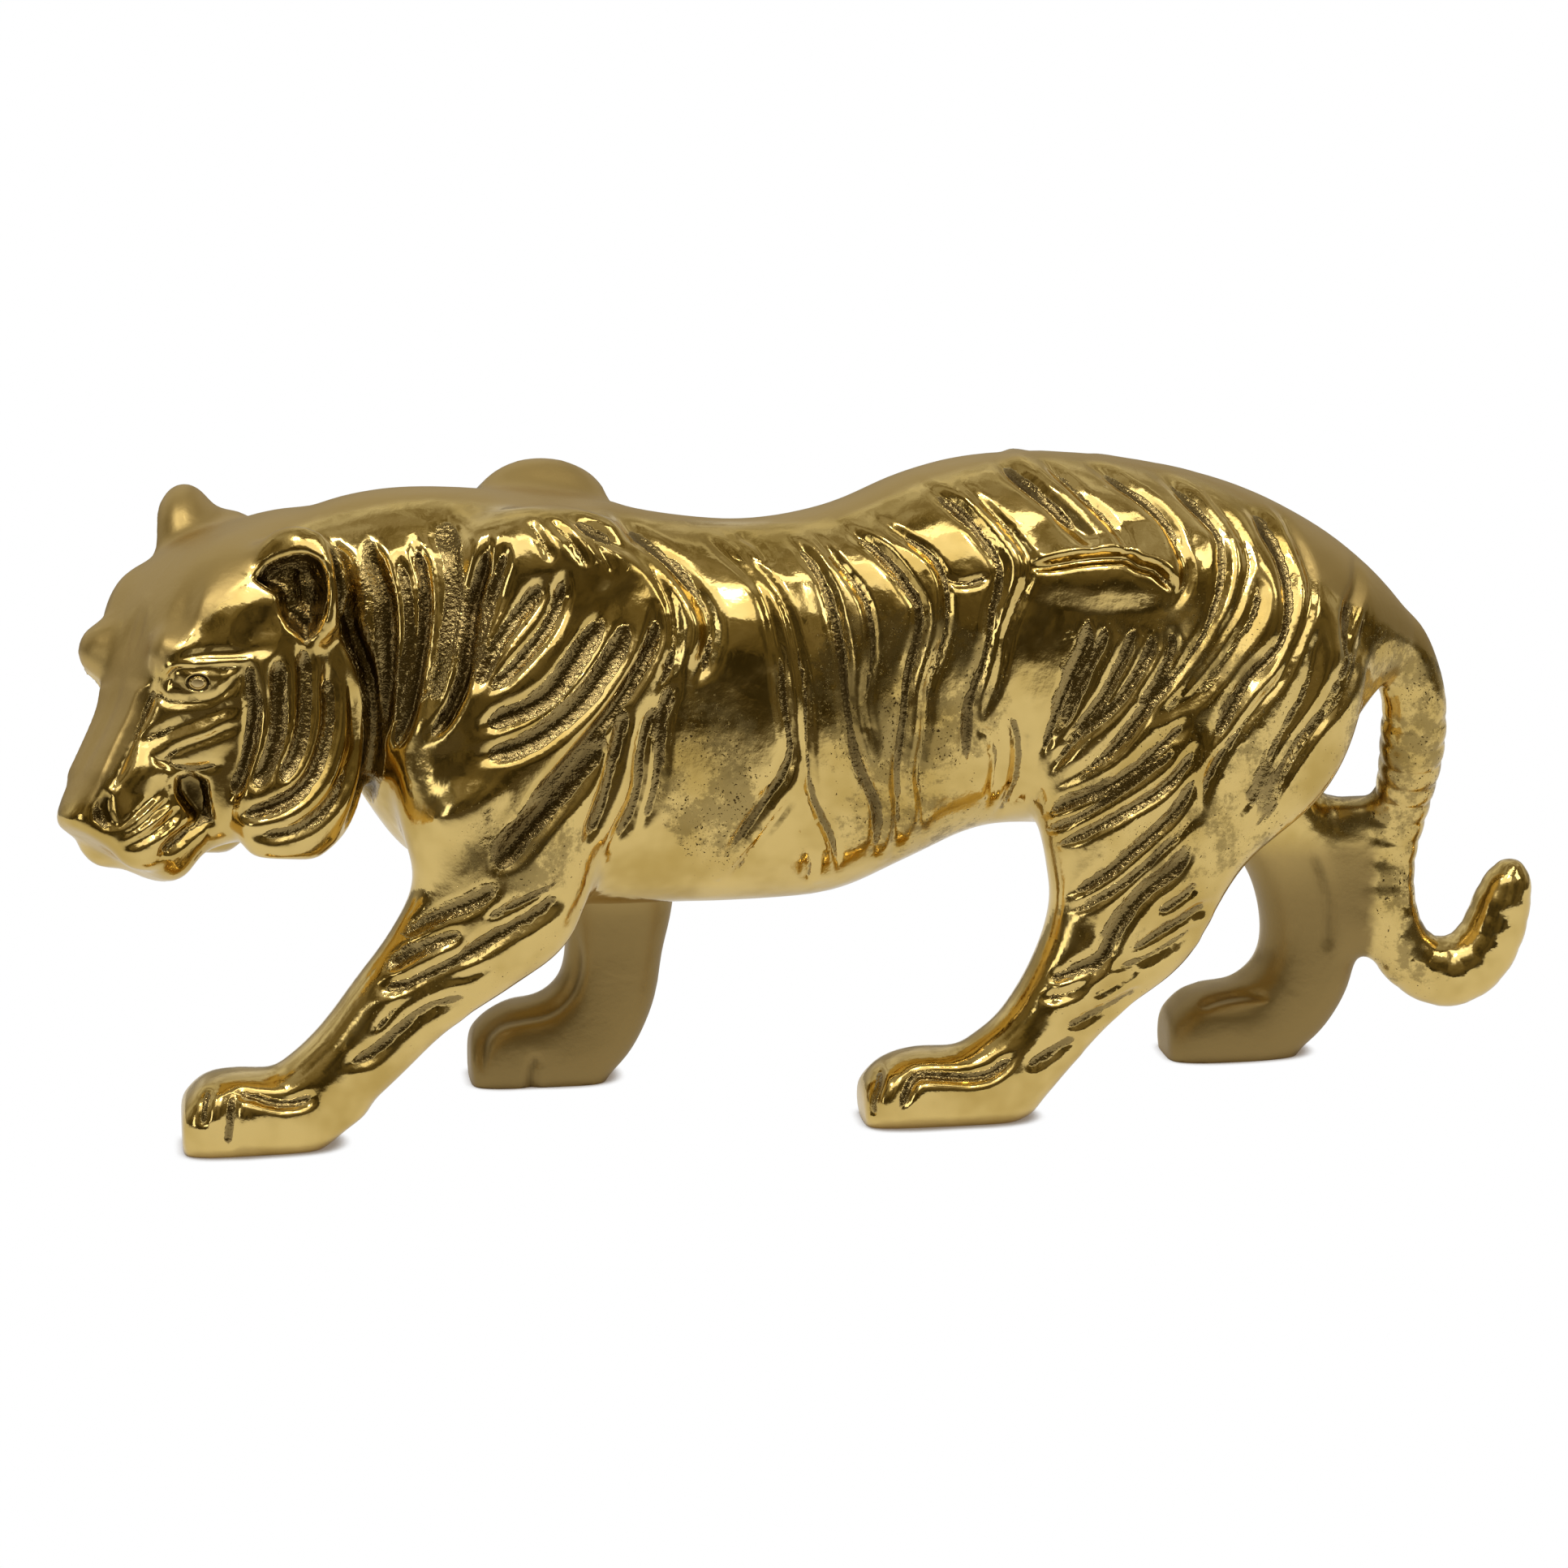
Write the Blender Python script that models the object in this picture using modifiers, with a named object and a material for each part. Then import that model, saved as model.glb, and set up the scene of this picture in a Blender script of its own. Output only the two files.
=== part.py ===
"""Walking tiger figurine, cast in brass in one piece.

Drawn in millimetres with the head toward -X, the seen flank toward -Y and Z up.
The body, the head, four legs and the tail are lofted and fused. The fur folds and
stripes are then pressed in along strokes, as they are traced on a sheet held in
front of the flank, and the other flank takes them mirrored.
"""
import math
from dataclasses import dataclass

import bmesh
import bpy
import numpy as np
from mathutils import Euler, Matrix, Vector

# Driving sizes
LENGTH = 0.34
WIDTH = 0.0731
HEIGHT = 0.1467
CARVING = 1.6
CUT_WIDENING = 1.2
LIP_FALL = 2.4
TRIANGLES = 11500
VOXEL = 1.2
FACE_KEPT = 2.0

# Sizes of the drawing, in millimetres
BODY_HALF_WIDTH = 31.0
LEG_SPREAD = 24.0
TAIL_RADIUS = 7.0

# The eye that the tracing sheet belongs to, in drawing millimetres and degrees
EYE_TARGET = Vector((0.0, 0.0, 72.0))
EYE_DISTANCE = 1100.0
EYE_TURN = 8.0
EYE_DROP = 12.0

# The head is turned and tilted about this point
HEAD_PIVOT = Vector((-120.0, -3.0, 100.0))
HEAD_TURN = 29.0
HEAD_TILT = 8.0

NAME = "tiger_figurine"
BRASS = (0.50, 0.30, 0.075, 1.0)


@dataclass(frozen=True)
class Rung:
    """A section of a form, drawn as a line across its outline in side view."""

    front: tuple
    back: tuple
    y: float
    depth: float
    square: float = 2.2


@dataclass(frozen=True)
class Ball:
    """An ellipsoid, turned by degrees about X, Y and Z."""

    centre: tuple
    radii: tuple
    turn: tuple = (0, 0, 0)


@dataclass(frozen=True)
class Cut:
    """A groove along a path on the sheet, with a raised lip that falls away slowly.

    Drawn downward, a lip above zero is on the right. A higher floor is a flatter one.
    """

    width: float
    depth: float
    lip: float
    path: tuple
    floor: float = 2.0


@dataclass(frozen=True)
class Hollow:
    """A region of the sheet that is pushed in, with the width of the slope round it."""

    depth: float
    wall: float
    outline: tuple


@dataclass(frozen=True)
class Spot:
    """A round hollow on the sheet, or a swelling where its height is above zero."""

    centre: tuple
    radii: tuple
    turn: float
    height: float


# The body, with each depth as a share of its greatest half width
TORSO = (
    Rung((-116, 133), (-108, 94), -2, 0.58),
    Rung((-103, 138.5), (-99, 77), 0, 0.71),
    Rung((-90, 141), (-88, 61), 0, 0.81),
    Rung((-76, 141), (-76, 55), 0, 0.87),
    Rung((-60, 139.5), (-60, 48), 0, 0.92),
    Rung((-45, 137.5), (-45, 46.5), 0, 0.94),
    Rung((-28, 134), (-28, 46.5), 0, 0.92),
    Rung((-10, 132.5), (-12, 46.5), 0, 0.9),
    Rung((8, 135.5), (8, 48), 0, 0.89),
    Rung((24, 142), (25, 55), 0, 0.89),
    Rung((40, 145.7), (42, 62), 0, 0.92),
    Rung((60, 146), (62, 62), 0, 0.97),
    Rung((80, 143.5), (80, 62), 0, 1),
    Rung((100, 138), (96, 64), 0, 0.97),
    Rung((117, 129.5), (112, 68), 0, 0.85),
    Rung((129, 120.5), (121, 76), 0, 0.65),
    Rung((138, 111), (128, 86), 0, 0.42),
    Rung((143.5, 102.5), (134, 94), 0, 0.26),
)
# The legs and paws, with y from the line that their side's paws stand on
NEAR_FRONT_LEG = (
    Rung((-80, 126), (-50, 130), 11, 8),
    Rung((-89, 112), (-40, 118), 8.5, 13),
    Rung((-91, 98), (-36, 104), 6.5, 15.5),
    Rung((-92, 84), (-38, 84), 4.5, 15),
    Rung((-89.5, 70), (-45, 62), 3, 14),
    Rung((-87, 58), (-52.8, 43.5), 2, 12.5),
    Rung((-92, 47), (-64.5, 34.5), 1, 11.5),
    Rung((-100, 36.5), (-79, 25.5), 0, 10.5),
    Rung((-108, 26), (-90, 15.2), 0, 10),
    Rung((-115.5, 19), (-98, 8), 0, 10),
    Rung((-122, 15), (-106, 4), 0, 10),
)
NEAR_FRONT_PAW = (
    Rung((-100, 10), (-97, 7), 0, 6, 2.6),
    Rung((-105, 12), (-103, 3), 0, 9, 2.6),
    Rung((-110, 14), (-109, -1.5), 0, 10.5, 2.6),
    Rung((-117, 16), (-117, -2.5), 0, 11.5, 2.6),
    Rung((-125, 17), (-125, -2.5), 0, 12.3, 2.6),
    Rung((-133, 15.8), (-133, -2.5), 0, 12, 2.8),
    Rung((-138.3, 11), (-138.3, -2), 0, 9.5, 2.8),
)
NEAR_HIND_LEG = (
    Rung((68, 128), (102, 130), 9, 9),
    Rung((58, 112), (118.8, 116), 6.5, 13),
    Rung((52, 98), (125.4, 100), 5, 15),
    Rung((49.5, 84), (123, 84), 3.5, 15),
    Rung((50.5, 71), (115, 70), 2.5, 14),
    Rung((53, 59), (98, 55.5), 2, 13),
    Rung((54, 48), (85, 34.5), 1, 11.5),
    Rung((50, 35.5), (70, 23.3), 0, 10.5),
    Rung((43, 23.8), (60, 12.5), 0, 10),
    Rung((36, 18), (51, 2.5), 0, 10.5),
    Rung((29, 13), (42, -1), 0, 10.5),
)
NEAR_HIND_PAW = (
    Rung((52, 8), (51, 1), 0.5, 6, 2.4),
    Rung((45, 11.5), (45, -1.5), 0.5, 9.5, 2.4),
    Rung((36, 15), (36, -2.2), 1, 11, 2.4),
    Rung((25.5, 16), (25.5, -2.2), 1, 12, 2.4),
    Rung((17, 13.7), (17, -2), 1, 11.5, 2.4),
    Rung((11.7, 8.5), (12, -1.5), 1, 9, 2.6),
)
FAR_FRONT_LEG = (
    Rung((-72, 122), (-38, 126), -10, 9),
    Rung((-70, 106), (-30, 108), -7, 13),
    Rung((-64, 88), (-26, 86), -4, 13),
    Rung((-57, 66), (-24, 62), -3, 12.5, 2.6),
    Rung((-50.5, 45), (-25, 42), -2, 11.5, 3),
    Rung((-49.5, 33), (-27.5, 30), -1, 11, 3.2),
    Rung((-50.5, 24), (-29.5, 18), -0.5, 11, 3.2),
    Rung((-55, 19), (-35, 6), 0, 11.5, 3.2),
    Rung((-60, 16.5), (-44, -3), 0, 12, 3.2),
)
FAR_FRONT_PAW = (
    Rung((-42, 9), (-42, -4), 0, 10, 3),
    Rung((-50, 17), (-50, -4), 0, 11.5, 3),
    Rung((-60, 18), (-60, -4), 0, 12, 3),
    Rung((-67, 15.5), (-67, -4), 0, 11.5, 3),
    Rung((-72, 11), (-72, -3), 0, 9.5, 3),
)
FAR_HIND_LEG = (
    Rung((76, 126), (106, 130), -9, 9),
    Rung((70, 106), (120, 112), -7, 13),
    Rung((72, 90), (122, 92), -5, 13.5),
    Rung((84, 74), (121, 74), -3.5, 13),
    Rung((98, 58), (130, 55), -2.5, 12, 2.4),
    Rung((109.5, 44), (134, 42), -1.5, 11, 2.6),
    Rung((113.5, 31), (135, 29), -1, 10.5, 2.8),
    Rung((112.5, 22.5), (134.3, 17), -1, 10.5, 2.8),
    Rung((107, 17), (128, 5.5), -0.5, 11, 2.8),
    Rung((100, 15), (119, -2), -0.5, 11, 2.8),
)
FAR_HIND_PAW = (
    Rung((121, 6), (121, -3), -0.5, 8, 2.8),
    Rung((114, 15), (114, -4), -0.5, 11, 2.8),
    Rung((104, 16.5), (104, -4), -0.5, 12, 2.8),
    Rung((96, 15), (96, -4), -0.5, 11.5, 2.8),
    Rung((90.5, 10), (90.5, -3), -0.5, 9, 2.8),
)
TAIL_WEB = (
    Rung((127, 61), (141, 61), 18, 6),
    Rung((127, 52), (141, 52), 18, 7),
    Rung((129, 40), (141, 40), 18, 7),
    Rung((130, 30), (141, 30), 18, 7),
    Rung((132, 25), (141, 25), 18, 5),
)
# Each row is a point on the middle line of the tail, and the share of its usual radius there
TAIL = (
    (130, 0, 106, 1.07), (137, 0, 101.5, 1.07), (141, 0.5, 94, 1.05), (142.9, 1.5, 86, 1.08),
    (143.4, 4, 78, 1.12), (143.9, 8, 70.5, 1.06), (143.8, 12, 63.5, 1.0), (143.1, 15, 56, 0.96),
    (141.8, 16, 49, 0.95), (141.1, 16, 41.5, 0.98), (142, 16, 33.5, 1.02), (144.3, 16, 27, 1.06),
    (149, 16, 21.7, 1.11), (156.2, 16, 18.8, 1.17), (163, 16, 22, 1.16), (167, 16, 28.5, 1.1),
    (168.8, 16, 34.5, 1.03), (170.2, 16, 39.5, 0.91), (170.8, 16, 43.2, 0.7), (170.9, 16, 45.5, 0.45),
    (170.9, 16, 46.5, 0.14),
)
# The far and the near shoulder blade, and the point of the near shoulder
MUSCLES = (
    Ball((-55, 16, 131), (16.5, 10, 14)),
    Ball((-58, -15, 125), (22, 12, 14)),
    Ball((-74, -31, 77), (12, 6, 6), (0, -35, 0)),
)

# The head is drawn about its pivot, with X forward and Y to its left cheek
HEAD = (
    Rung((-30, 34), (-26, -6), 0, 18),
    Rung((-14, 36.5), (-16, -22), 0, 23, 2.4),
    Rung((0, 34.5), (-6, -31), 0, 26, 2.7),
    Rung((14, 30), (3, -34), 0, 26, 3.2),
    Rung((24.5, 20), (10, -34.5), 0, 21.5, 3.4),
    Rung((30.2, 9), (15.5, -35), 0, 17, 3.4),
    Rung((34, -1), (20, -36.5), 0, 13.5, 3.2),
    Rung((39.6, -9.5), (23, -40), 0, 11.8, 3.2),
    Rung((46, -18), (26.5, -41.8), 0, 10.3, 3.2),
    Rung((50.8, -25.2), (31, -39.6), 0, 7.6, 3.2),
)
RUFF = (
    Rung((9, 16), (-8, 14), 0, 5),
    Rung((13, 3), (-13, 2), 0, 7.5),
    Rung((16, -10), (-15, -11), 0, 8.5),
    Rung((18, -22), (-13.5, -24), 0, 8.5),
    Rung((18, -31), (-8, -34), 0, 8),
    Rung((15, -37), (0, -39.5), 0, 5.5),
)
RUFF_SIDE = 19.0
FAR_BROW = Ball((26, -13.5, 9), (8.5, 7.8, 7))
NEAR_BROW = Ball((23.3, 12.6, 8.5), (8.5, 7.4, 7))
FAR_TEMPLE = Ball((16, -15.5, 17), (13, 8, 9), (0, 40, 0))
NEAR_TEMPLE = Ball((13.6, 14.2, 16), (13, 8, 9), (0, 40, 0))
LIP = Ball((35, 7.5, -29), (8, 6, 9))
NEAR_EAR = Ball((1.3, 24.7, 20.5), (5, 12, 13.5), (0, 0, 42))
FAR_EAR = Ball((1, -21, 29.3), (7.5, 12.5, 14.5), (0, 0, -42))
FAR_EAR_ROOT = Ball((-8, -19, 26), (9, 9, 11))
EAR_CUP = 5.5

# The folds on the flank, traced on the sheet from the neck to the rump
FLANK = (
    Cut(1.8, 2.0, -0.9, (
        (-104.5, 127.3), (-101.3, 122.4), (-100, 116.4), (-99.5, 110.7), (-98.6, 105), (-96.4, 99.5),
        (-94.9, 93.7), (-94.3, 84.6), (-94.9, 75.5), (-97.3, 67), (-101, 60))),
    Cut(1.8, 1.3, 0.5, (
        (-95.5, 127), (-93.5, 121), (-91.5, 115), (-90.8, 109), (-90.8, 102), (-91, 95), (-92, 87),
        (-93.5, 79)), 3),
    Cut(1.4, 1.1, 0.4, (
        (-89, 124), (-87, 118), (-86, 111), (-86, 104), (-87, 97), (-88, 90), (-89.5, 84)), 3),
    Cut(1.5, 1.6, 0.5, (
        (-85.5, 127), (-83.5, 121), (-82.6, 114), (-82.8, 107), (-84, 99), (-85.5, 91), (-87.5, 85),
        (-89, 80)), 3),
    Cut(3, 1, 0.3, (
        (-79.5, 134), (-77.5, 127), (-76.5, 119), (-77, 110), (-79, 101), (-81, 93), (-84, 85)), 3),
    Cut(1.6, 1.8, 0.6, (
        (-68, 128), (-69.5, 121), (-71, 115), (-72, 109), (-72.8, 103), (-73.8, 97), (-76, 91), (-79, 86),
        (-83, 81)), 3),
    Cut(1.6, 1.1, 0.5, ((-64.5, 127), (-66, 120), (-68, 113), (-69.5, 107), (-70.5, 101), (-71.5, 95)), 3),
    Cut(1.6, 1.1, 0.5, ((-56, 118.5), (-59, 113.5), (-62.5, 109), (-66, 104), (-69, 98), (-72, 92)), 3),
    Cut(1.5, 1.1, 0.5, (
        (-51, 120), (-52.5, 114), (-54.5, 108.5), (-58, 103.5), (-61.5, 99.5), (-65, 96), (-69, 92)), 3),
    Cut(2.2, 1.3, 0.5, (
        (-43, 111), (-46, 104.5), (-50, 98.5), (-54, 93), (-59, 89.5), (-65, 87), (-71, 84)), 3),
    Cut(2.2, 1.4, 0.6, (
        (-37, 109), (-40, 102), (-44, 95.5), (-48, 90.5), (-53, 86), (-58, 82.5), (-64, 80),
        (-72, 77.5)), 3),
    Cut(1.5, 1.4, 0.5, (
        (-31, 114), (-31, 106), (-33.5, 100), (-37, 94), (-41, 88), (-45.5, 82.5), (-50.5, 76.5),
        (-56, 70.5), (-61, 65)), 3),
    Cut(2.5, 1.6, 0.5, (
        (-41, 84), (-45.5, 78), (-50, 72.5), (-55, 67), (-59.5, 62), (-63.5, 57), (-67, 52)), 3),
    Cut(1.5, 1.2, 0.4, ((-37, 90), (-39, 84), (-40.5, 77), (-42, 71), (-44, 65), (-47, 58)), 3),
    Cut(1.4, 1, 0.4, ((-30, 92), (-33, 85), (-34.5, 78), (-35, 71), (-37.5, 64), (-41.5, 58)), 3),
    Cut(1.4, 1, 0.4, ((-25, 98), (-28.5, 91), (-30, 84), (-30.5, 76), (-32, 68), (-35, 61)), 3),
    Cut(1.4, 1.2, 0.8, (
        (-53, 133), (-47, 130), (-41.5, 127), (-35.5, 123.5), (-31, 119), (-28, 113.5), (-26.7, 108),
        (-27, 102), (-29, 96), (-31.5, 91))),
    Cut(1.8, 1.5, -1.2, (
        (-41, 132), (-36, 128.5), (-31, 124.5), (-26, 120), (-22, 115), (-19.3, 110), (-18.6, 105),
        (-20, 99), (-22, 94))),
    Cut(0.9, 0.6, 0.3, ((-60, 131.5), (-57.5, 128.5), (-55.5, 125), (-54, 122))),
    Cut(0.9, 0.6, 0.3, ((-55, 131.5), (-51, 128), (-48, 124), (-46, 120.5))),
    Cut(0.9, 0.6, 0.3, ((-49, 130), (-45, 127), (-42, 123), (-40.5, 119))),
    Cut(1.4, 1.1, 0.6, (
        (-20, 127.5), (-16, 124.5), (-12, 121), (-8, 116.5), (-5.5, 111), (-4, 105), (-2.7, 99),
        (-2.2, 92), (-1.3, 86), (-0.5, 80), (-2, 75), (-6, 68.5), (-10.5, 62), (-14.5, 56.5),
        (-18.5, 51.5))),
    Cut(1, 1.1, -0.6, (
        (-17, 129), (-12, 125), (-8, 120.5), (-4, 115.5), (-1.3, 110), (0.4, 104), (1.6, 98), (2.6, 92),
        (2.7, 86), (3, 80), (3.3, 76), (4, 70.5), (6.3, 64.5), (8.5, 60), (9.5, 55), (9.5, 50))),
    Cut(0.9, 0.6, 0, ((-13, 128.3), (-9, 126), (-6.5, 123), (-5, 120.5))),
    Cut(1.4, 1.2, 0.8, (
        (-2, 127.8), (2, 124.2), (5.5, 119.8), (8, 114), (9.6, 108), (11, 101), (11.5, 95), (12.2, 89),
        (13.3, 82.5), (14.5, 76.5), (17, 71), (18.9, 66), (18.8, 60), (17.6, 54))),
    Cut(1, 1.1, -0.8, (
        (3, 129.3), (7, 125.3), (11, 120.3), (14.5, 116), (16.5, 112), (17.5, 107), (17.7, 101),
        (16.7, 95), (16.2, 91), (16.8, 86), (18, 81), (18.5, 75))),
    Cut(1.4, 1.2, 0.8, (
        (9.5, 131), (14, 127.5), (19, 124), (22.5, 120.5), (25.7, 116), (28, 112), (28.3, 107.5),
        (27.3, 103), (26, 98), (25.2, 93), (24.8, 87), (24.2, 82), (23.4, 76), (23.3, 70), (23.3, 64),
        (22.7, 59), (21.4, 54))),
    Cut(1, 1.1, -0.8, (
        (16.5, 132.8), (21, 129.8), (26, 126.7), (30.5, 123.5), (33.2, 119.5), (34.3, 115), (34.3, 109),
        (33.4, 104), (31.5, 98), (30, 93), (29.5, 87), (29, 82), (28, 77), (27.9, 73), (28.8, 68),
        (28.8, 64), (28.2, 58))),
    Cut(1.5, 1.2, 0.8, (
        (27.5, 140), (33, 136.3), (37, 133.3), (41, 129.3), (44, 125.3), (46.3, 121), (46, 116),
        (44.7, 111), (44, 105), (42.5, 99), (40.7, 94), (39.2, 89), (38.8, 83), (39, 78), (39.4, 73))),
    Cut(1, 1.1, -0.8, (
        (36, 140.5), (41, 136.5), (45.5, 132), (49.3, 127.8), (52, 123.8), (52.8, 120.5), (51.9, 116.5),
        (49.5, 111), (47.6, 105.5), (46.5, 100), (45, 94), (43, 89), (41.3, 85))),
    Cut(1, 0.9, 0.6, ((40, 85), (43.5, 83.5), (45.2, 79), (45, 74), (44.2, 69.5), (43, 65.5))),
    Cut(1.2, 1, -0.6, ((47.5, 89), (49.8, 84), (50.3, 79), (49.6, 73), (47.3, 68), (45, 64.5))),
    Cut(1, 0.8, -0.4, ((0, 70.5), (-2.3, 66.5), (-5, 63), (-8, 59), (-11, 55), (-14.5, 50))),
    Cut(1, 0.6, 0.3, ((1, 62.5), (2.8, 58.5), (3.6, 54), (3, 49.5))),
    Cut(1.5, 1.2, 0.9, (
        (45, 144.8), (50, 141.3), (54.5, 137.5), (58, 134.3), (61.8, 130.5), (65, 127), (67.3, 123.5))),
    Cut(1, 1.1, -0.9, (
        (54.5, 145), (60, 140.8), (64.3, 136.8), (68.7, 132.8), (72, 129), (74, 125), (74.2, 122))),
    Cut(1.1, 0.9, 0.5, (
        (64.5, 144.3), (70, 141.5), (74, 138.7), (78, 136), (81.5, 133), (84.2, 129.5), (86, 125),
        (87.7, 120), (87, 115), (84.5, 111))),
    Cut(1.3, 1.1, 0.7, (
        (79, 143), (84, 139.5), (88, 136.2), (92, 132.3), (95.2, 128), (96.2, 123.5), (96, 118.5),
        (94.8, 113), (92.7, 107), (89.5, 101.5), (86, 97), (82, 92.5), (78, 88), (75, 84), (70.5, 79),
        (64, 74.5), (58, 71))),
    Cut(1, 0.9, -0.6, (
        (90, 139.5), (94, 135), (98, 130.7), (100.8, 126), (102, 121), (101, 116.3), (99, 111), (96, 106),
        (93, 101), (89.3, 96), (86, 91.5), (82, 88), (77, 84.5))),
    Cut(1.6, 0.8, 0.4, (
        (103.5, 121), (104, 114.5), (102.5, 109), (99, 103.5), (95.5, 98.5), (91, 93.3), (86, 89.5),
        (80, 85.5))),
    Cut(1.6, 1.3, 0.8, (
        (100.5, 134.5), (104, 131.8), (107, 127.5), (109.5, 122.5), (111, 117), (111.3, 111), (110, 105),
        (107, 100.5), (103, 96.7), (100, 92.5), (97, 87), (94.5, 82), (92.5, 77))),
    Cut(1, 1, -0.7, (
        (106, 135), (109.5, 131), (113, 125.3), (115.5, 118.5), (115.5, 112), (113.7, 105.5), (111, 99.8),
        (108.5, 95), (105, 91), (101.5, 86.5), (98.3, 82), (95, 77.5), (92.5, 72), (91.5, 66),
        (90.8, 60))),
    Cut(1, 0.8, 0.4, ((109.5, 131), (112, 126.5), (114.3, 121), (116, 116))),
    Cut(1.4, 1.1, 0.6, (
        (125.5, 123), (126, 117), (124.7, 112), (124, 106), (124.3, 100.5), (122.6, 95.5), (120, 91),
        (117, 87), (113, 82), (109.3, 76), (106.3, 70), (103.5, 64.5), (99, 60.8))),
    Cut(1, 0.9, -0.6, (
        (128, 115), (128, 109), (127, 103), (125, 95.5), (122, 90), (117.5, 85), (113.3, 79), (109.7, 73),
        (107.5, 67), (104, 62.5), (98, 57.5))),
    Cut(1.6, 0.8, 0.4, (
        (118, 109), (117, 103), (116, 97.5), (113.7, 91), (110.5, 85), (107.3, 79), (105, 73),
        (102.5, 68.5), (98, 63.5))),
)
# The step above the smooth leaf on the haunch, and the fur locks below it
HAUNCH = (
    Cut(0.9, 1.5, 1.3, (
        (50, 120), (57, 120.8), (63, 121.8), (69, 122.4), (74.2, 122.4), (77, 120.8), (80.5, 119.8),
        (83.3, 117.5), (85.3, 114.5))),
    Cut(0.9, 0.8, 0.0, ((33.5, 119), (36, 117.3), (40, 117.3), (44.5, 119.2))),
    Cut(1.1, 0.9, 0.5, (
        (66, 109), (65.5, 103.5), (63, 98), (61, 93), (58.7, 88), (56.8, 82.5), (55.5, 78))),
    Cut(1.3, 0.9, 0.4, (
        (70, 108), (68.5, 103), (66, 98), (64, 93.5), (62, 88.5), (59.7, 84), (57.3, 79.5))),
    Cut(1.1, 0.9, 0.5, (
        (76.5, 107), (74.2, 101), (71.7, 96), (69.5, 91.7), (66, 87.5), (62.3, 83), (58.5, 79))),
    Cut(1.2, 0.9, 0.5, (
        (81, 107), (80, 102.5), (77.5, 98), (75, 94), (72.5, 90.5), (69, 87), (64.3, 83), (60.3, 79),
        (57.3, 74.5))),
    Cut(1.3, 1.0, 0.5, ((85, 108), (84.7, 102), (82.7, 97.3), (80.3, 93), (77, 89))),
    Cut(1.3, 1.1, 0.6, (
        (89.3, 88.3), (86, 84), (82.3, 80.7), (78, 76.7), (73, 73.2), (69, 71), (65, 69.3), (60, 67.3),
        (55.5, 65))),
    Cut(1.0, 0.9, 0.5, (
        (88, 83), (84, 78.3), (80, 75), (76, 72), (71.3, 69), (66, 66), (60.5, 63.3), (56, 61.5))),
    Cut(1.1, 1.0, 0.5, (
        (90.5, 81), (88, 77), (85, 73.3), (81, 70), (76, 67), (70, 63.7), (64, 60.7), (58, 58))),
    Cut(1.3, 1.0, 0.5, (
        (91, 75), (88.5, 70.5), (85, 65.5), (80, 60.5), (75, 56.3), (71, 52.8), (66, 49.5), (61, 46.8))),
    Cut(1.1, 0.9, 0.4, (
        (91, 69), (89.5, 64.5), (86, 60.5), (82, 57), (78, 53.3), (74, 50), (70, 47.5), (66, 45.3),
        (61.5, 43))),
    Cut(1.7, 1.1, 0.5, (
        (90.5, 63), (87.3, 56.3), (84, 52.3), (80, 49.5), (76.3, 46), (73.3, 42), (71.3, 38), (69.7, 34),
        (67, 31.7), (62.5, 30.3), (58, 28.7))),
)
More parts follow.
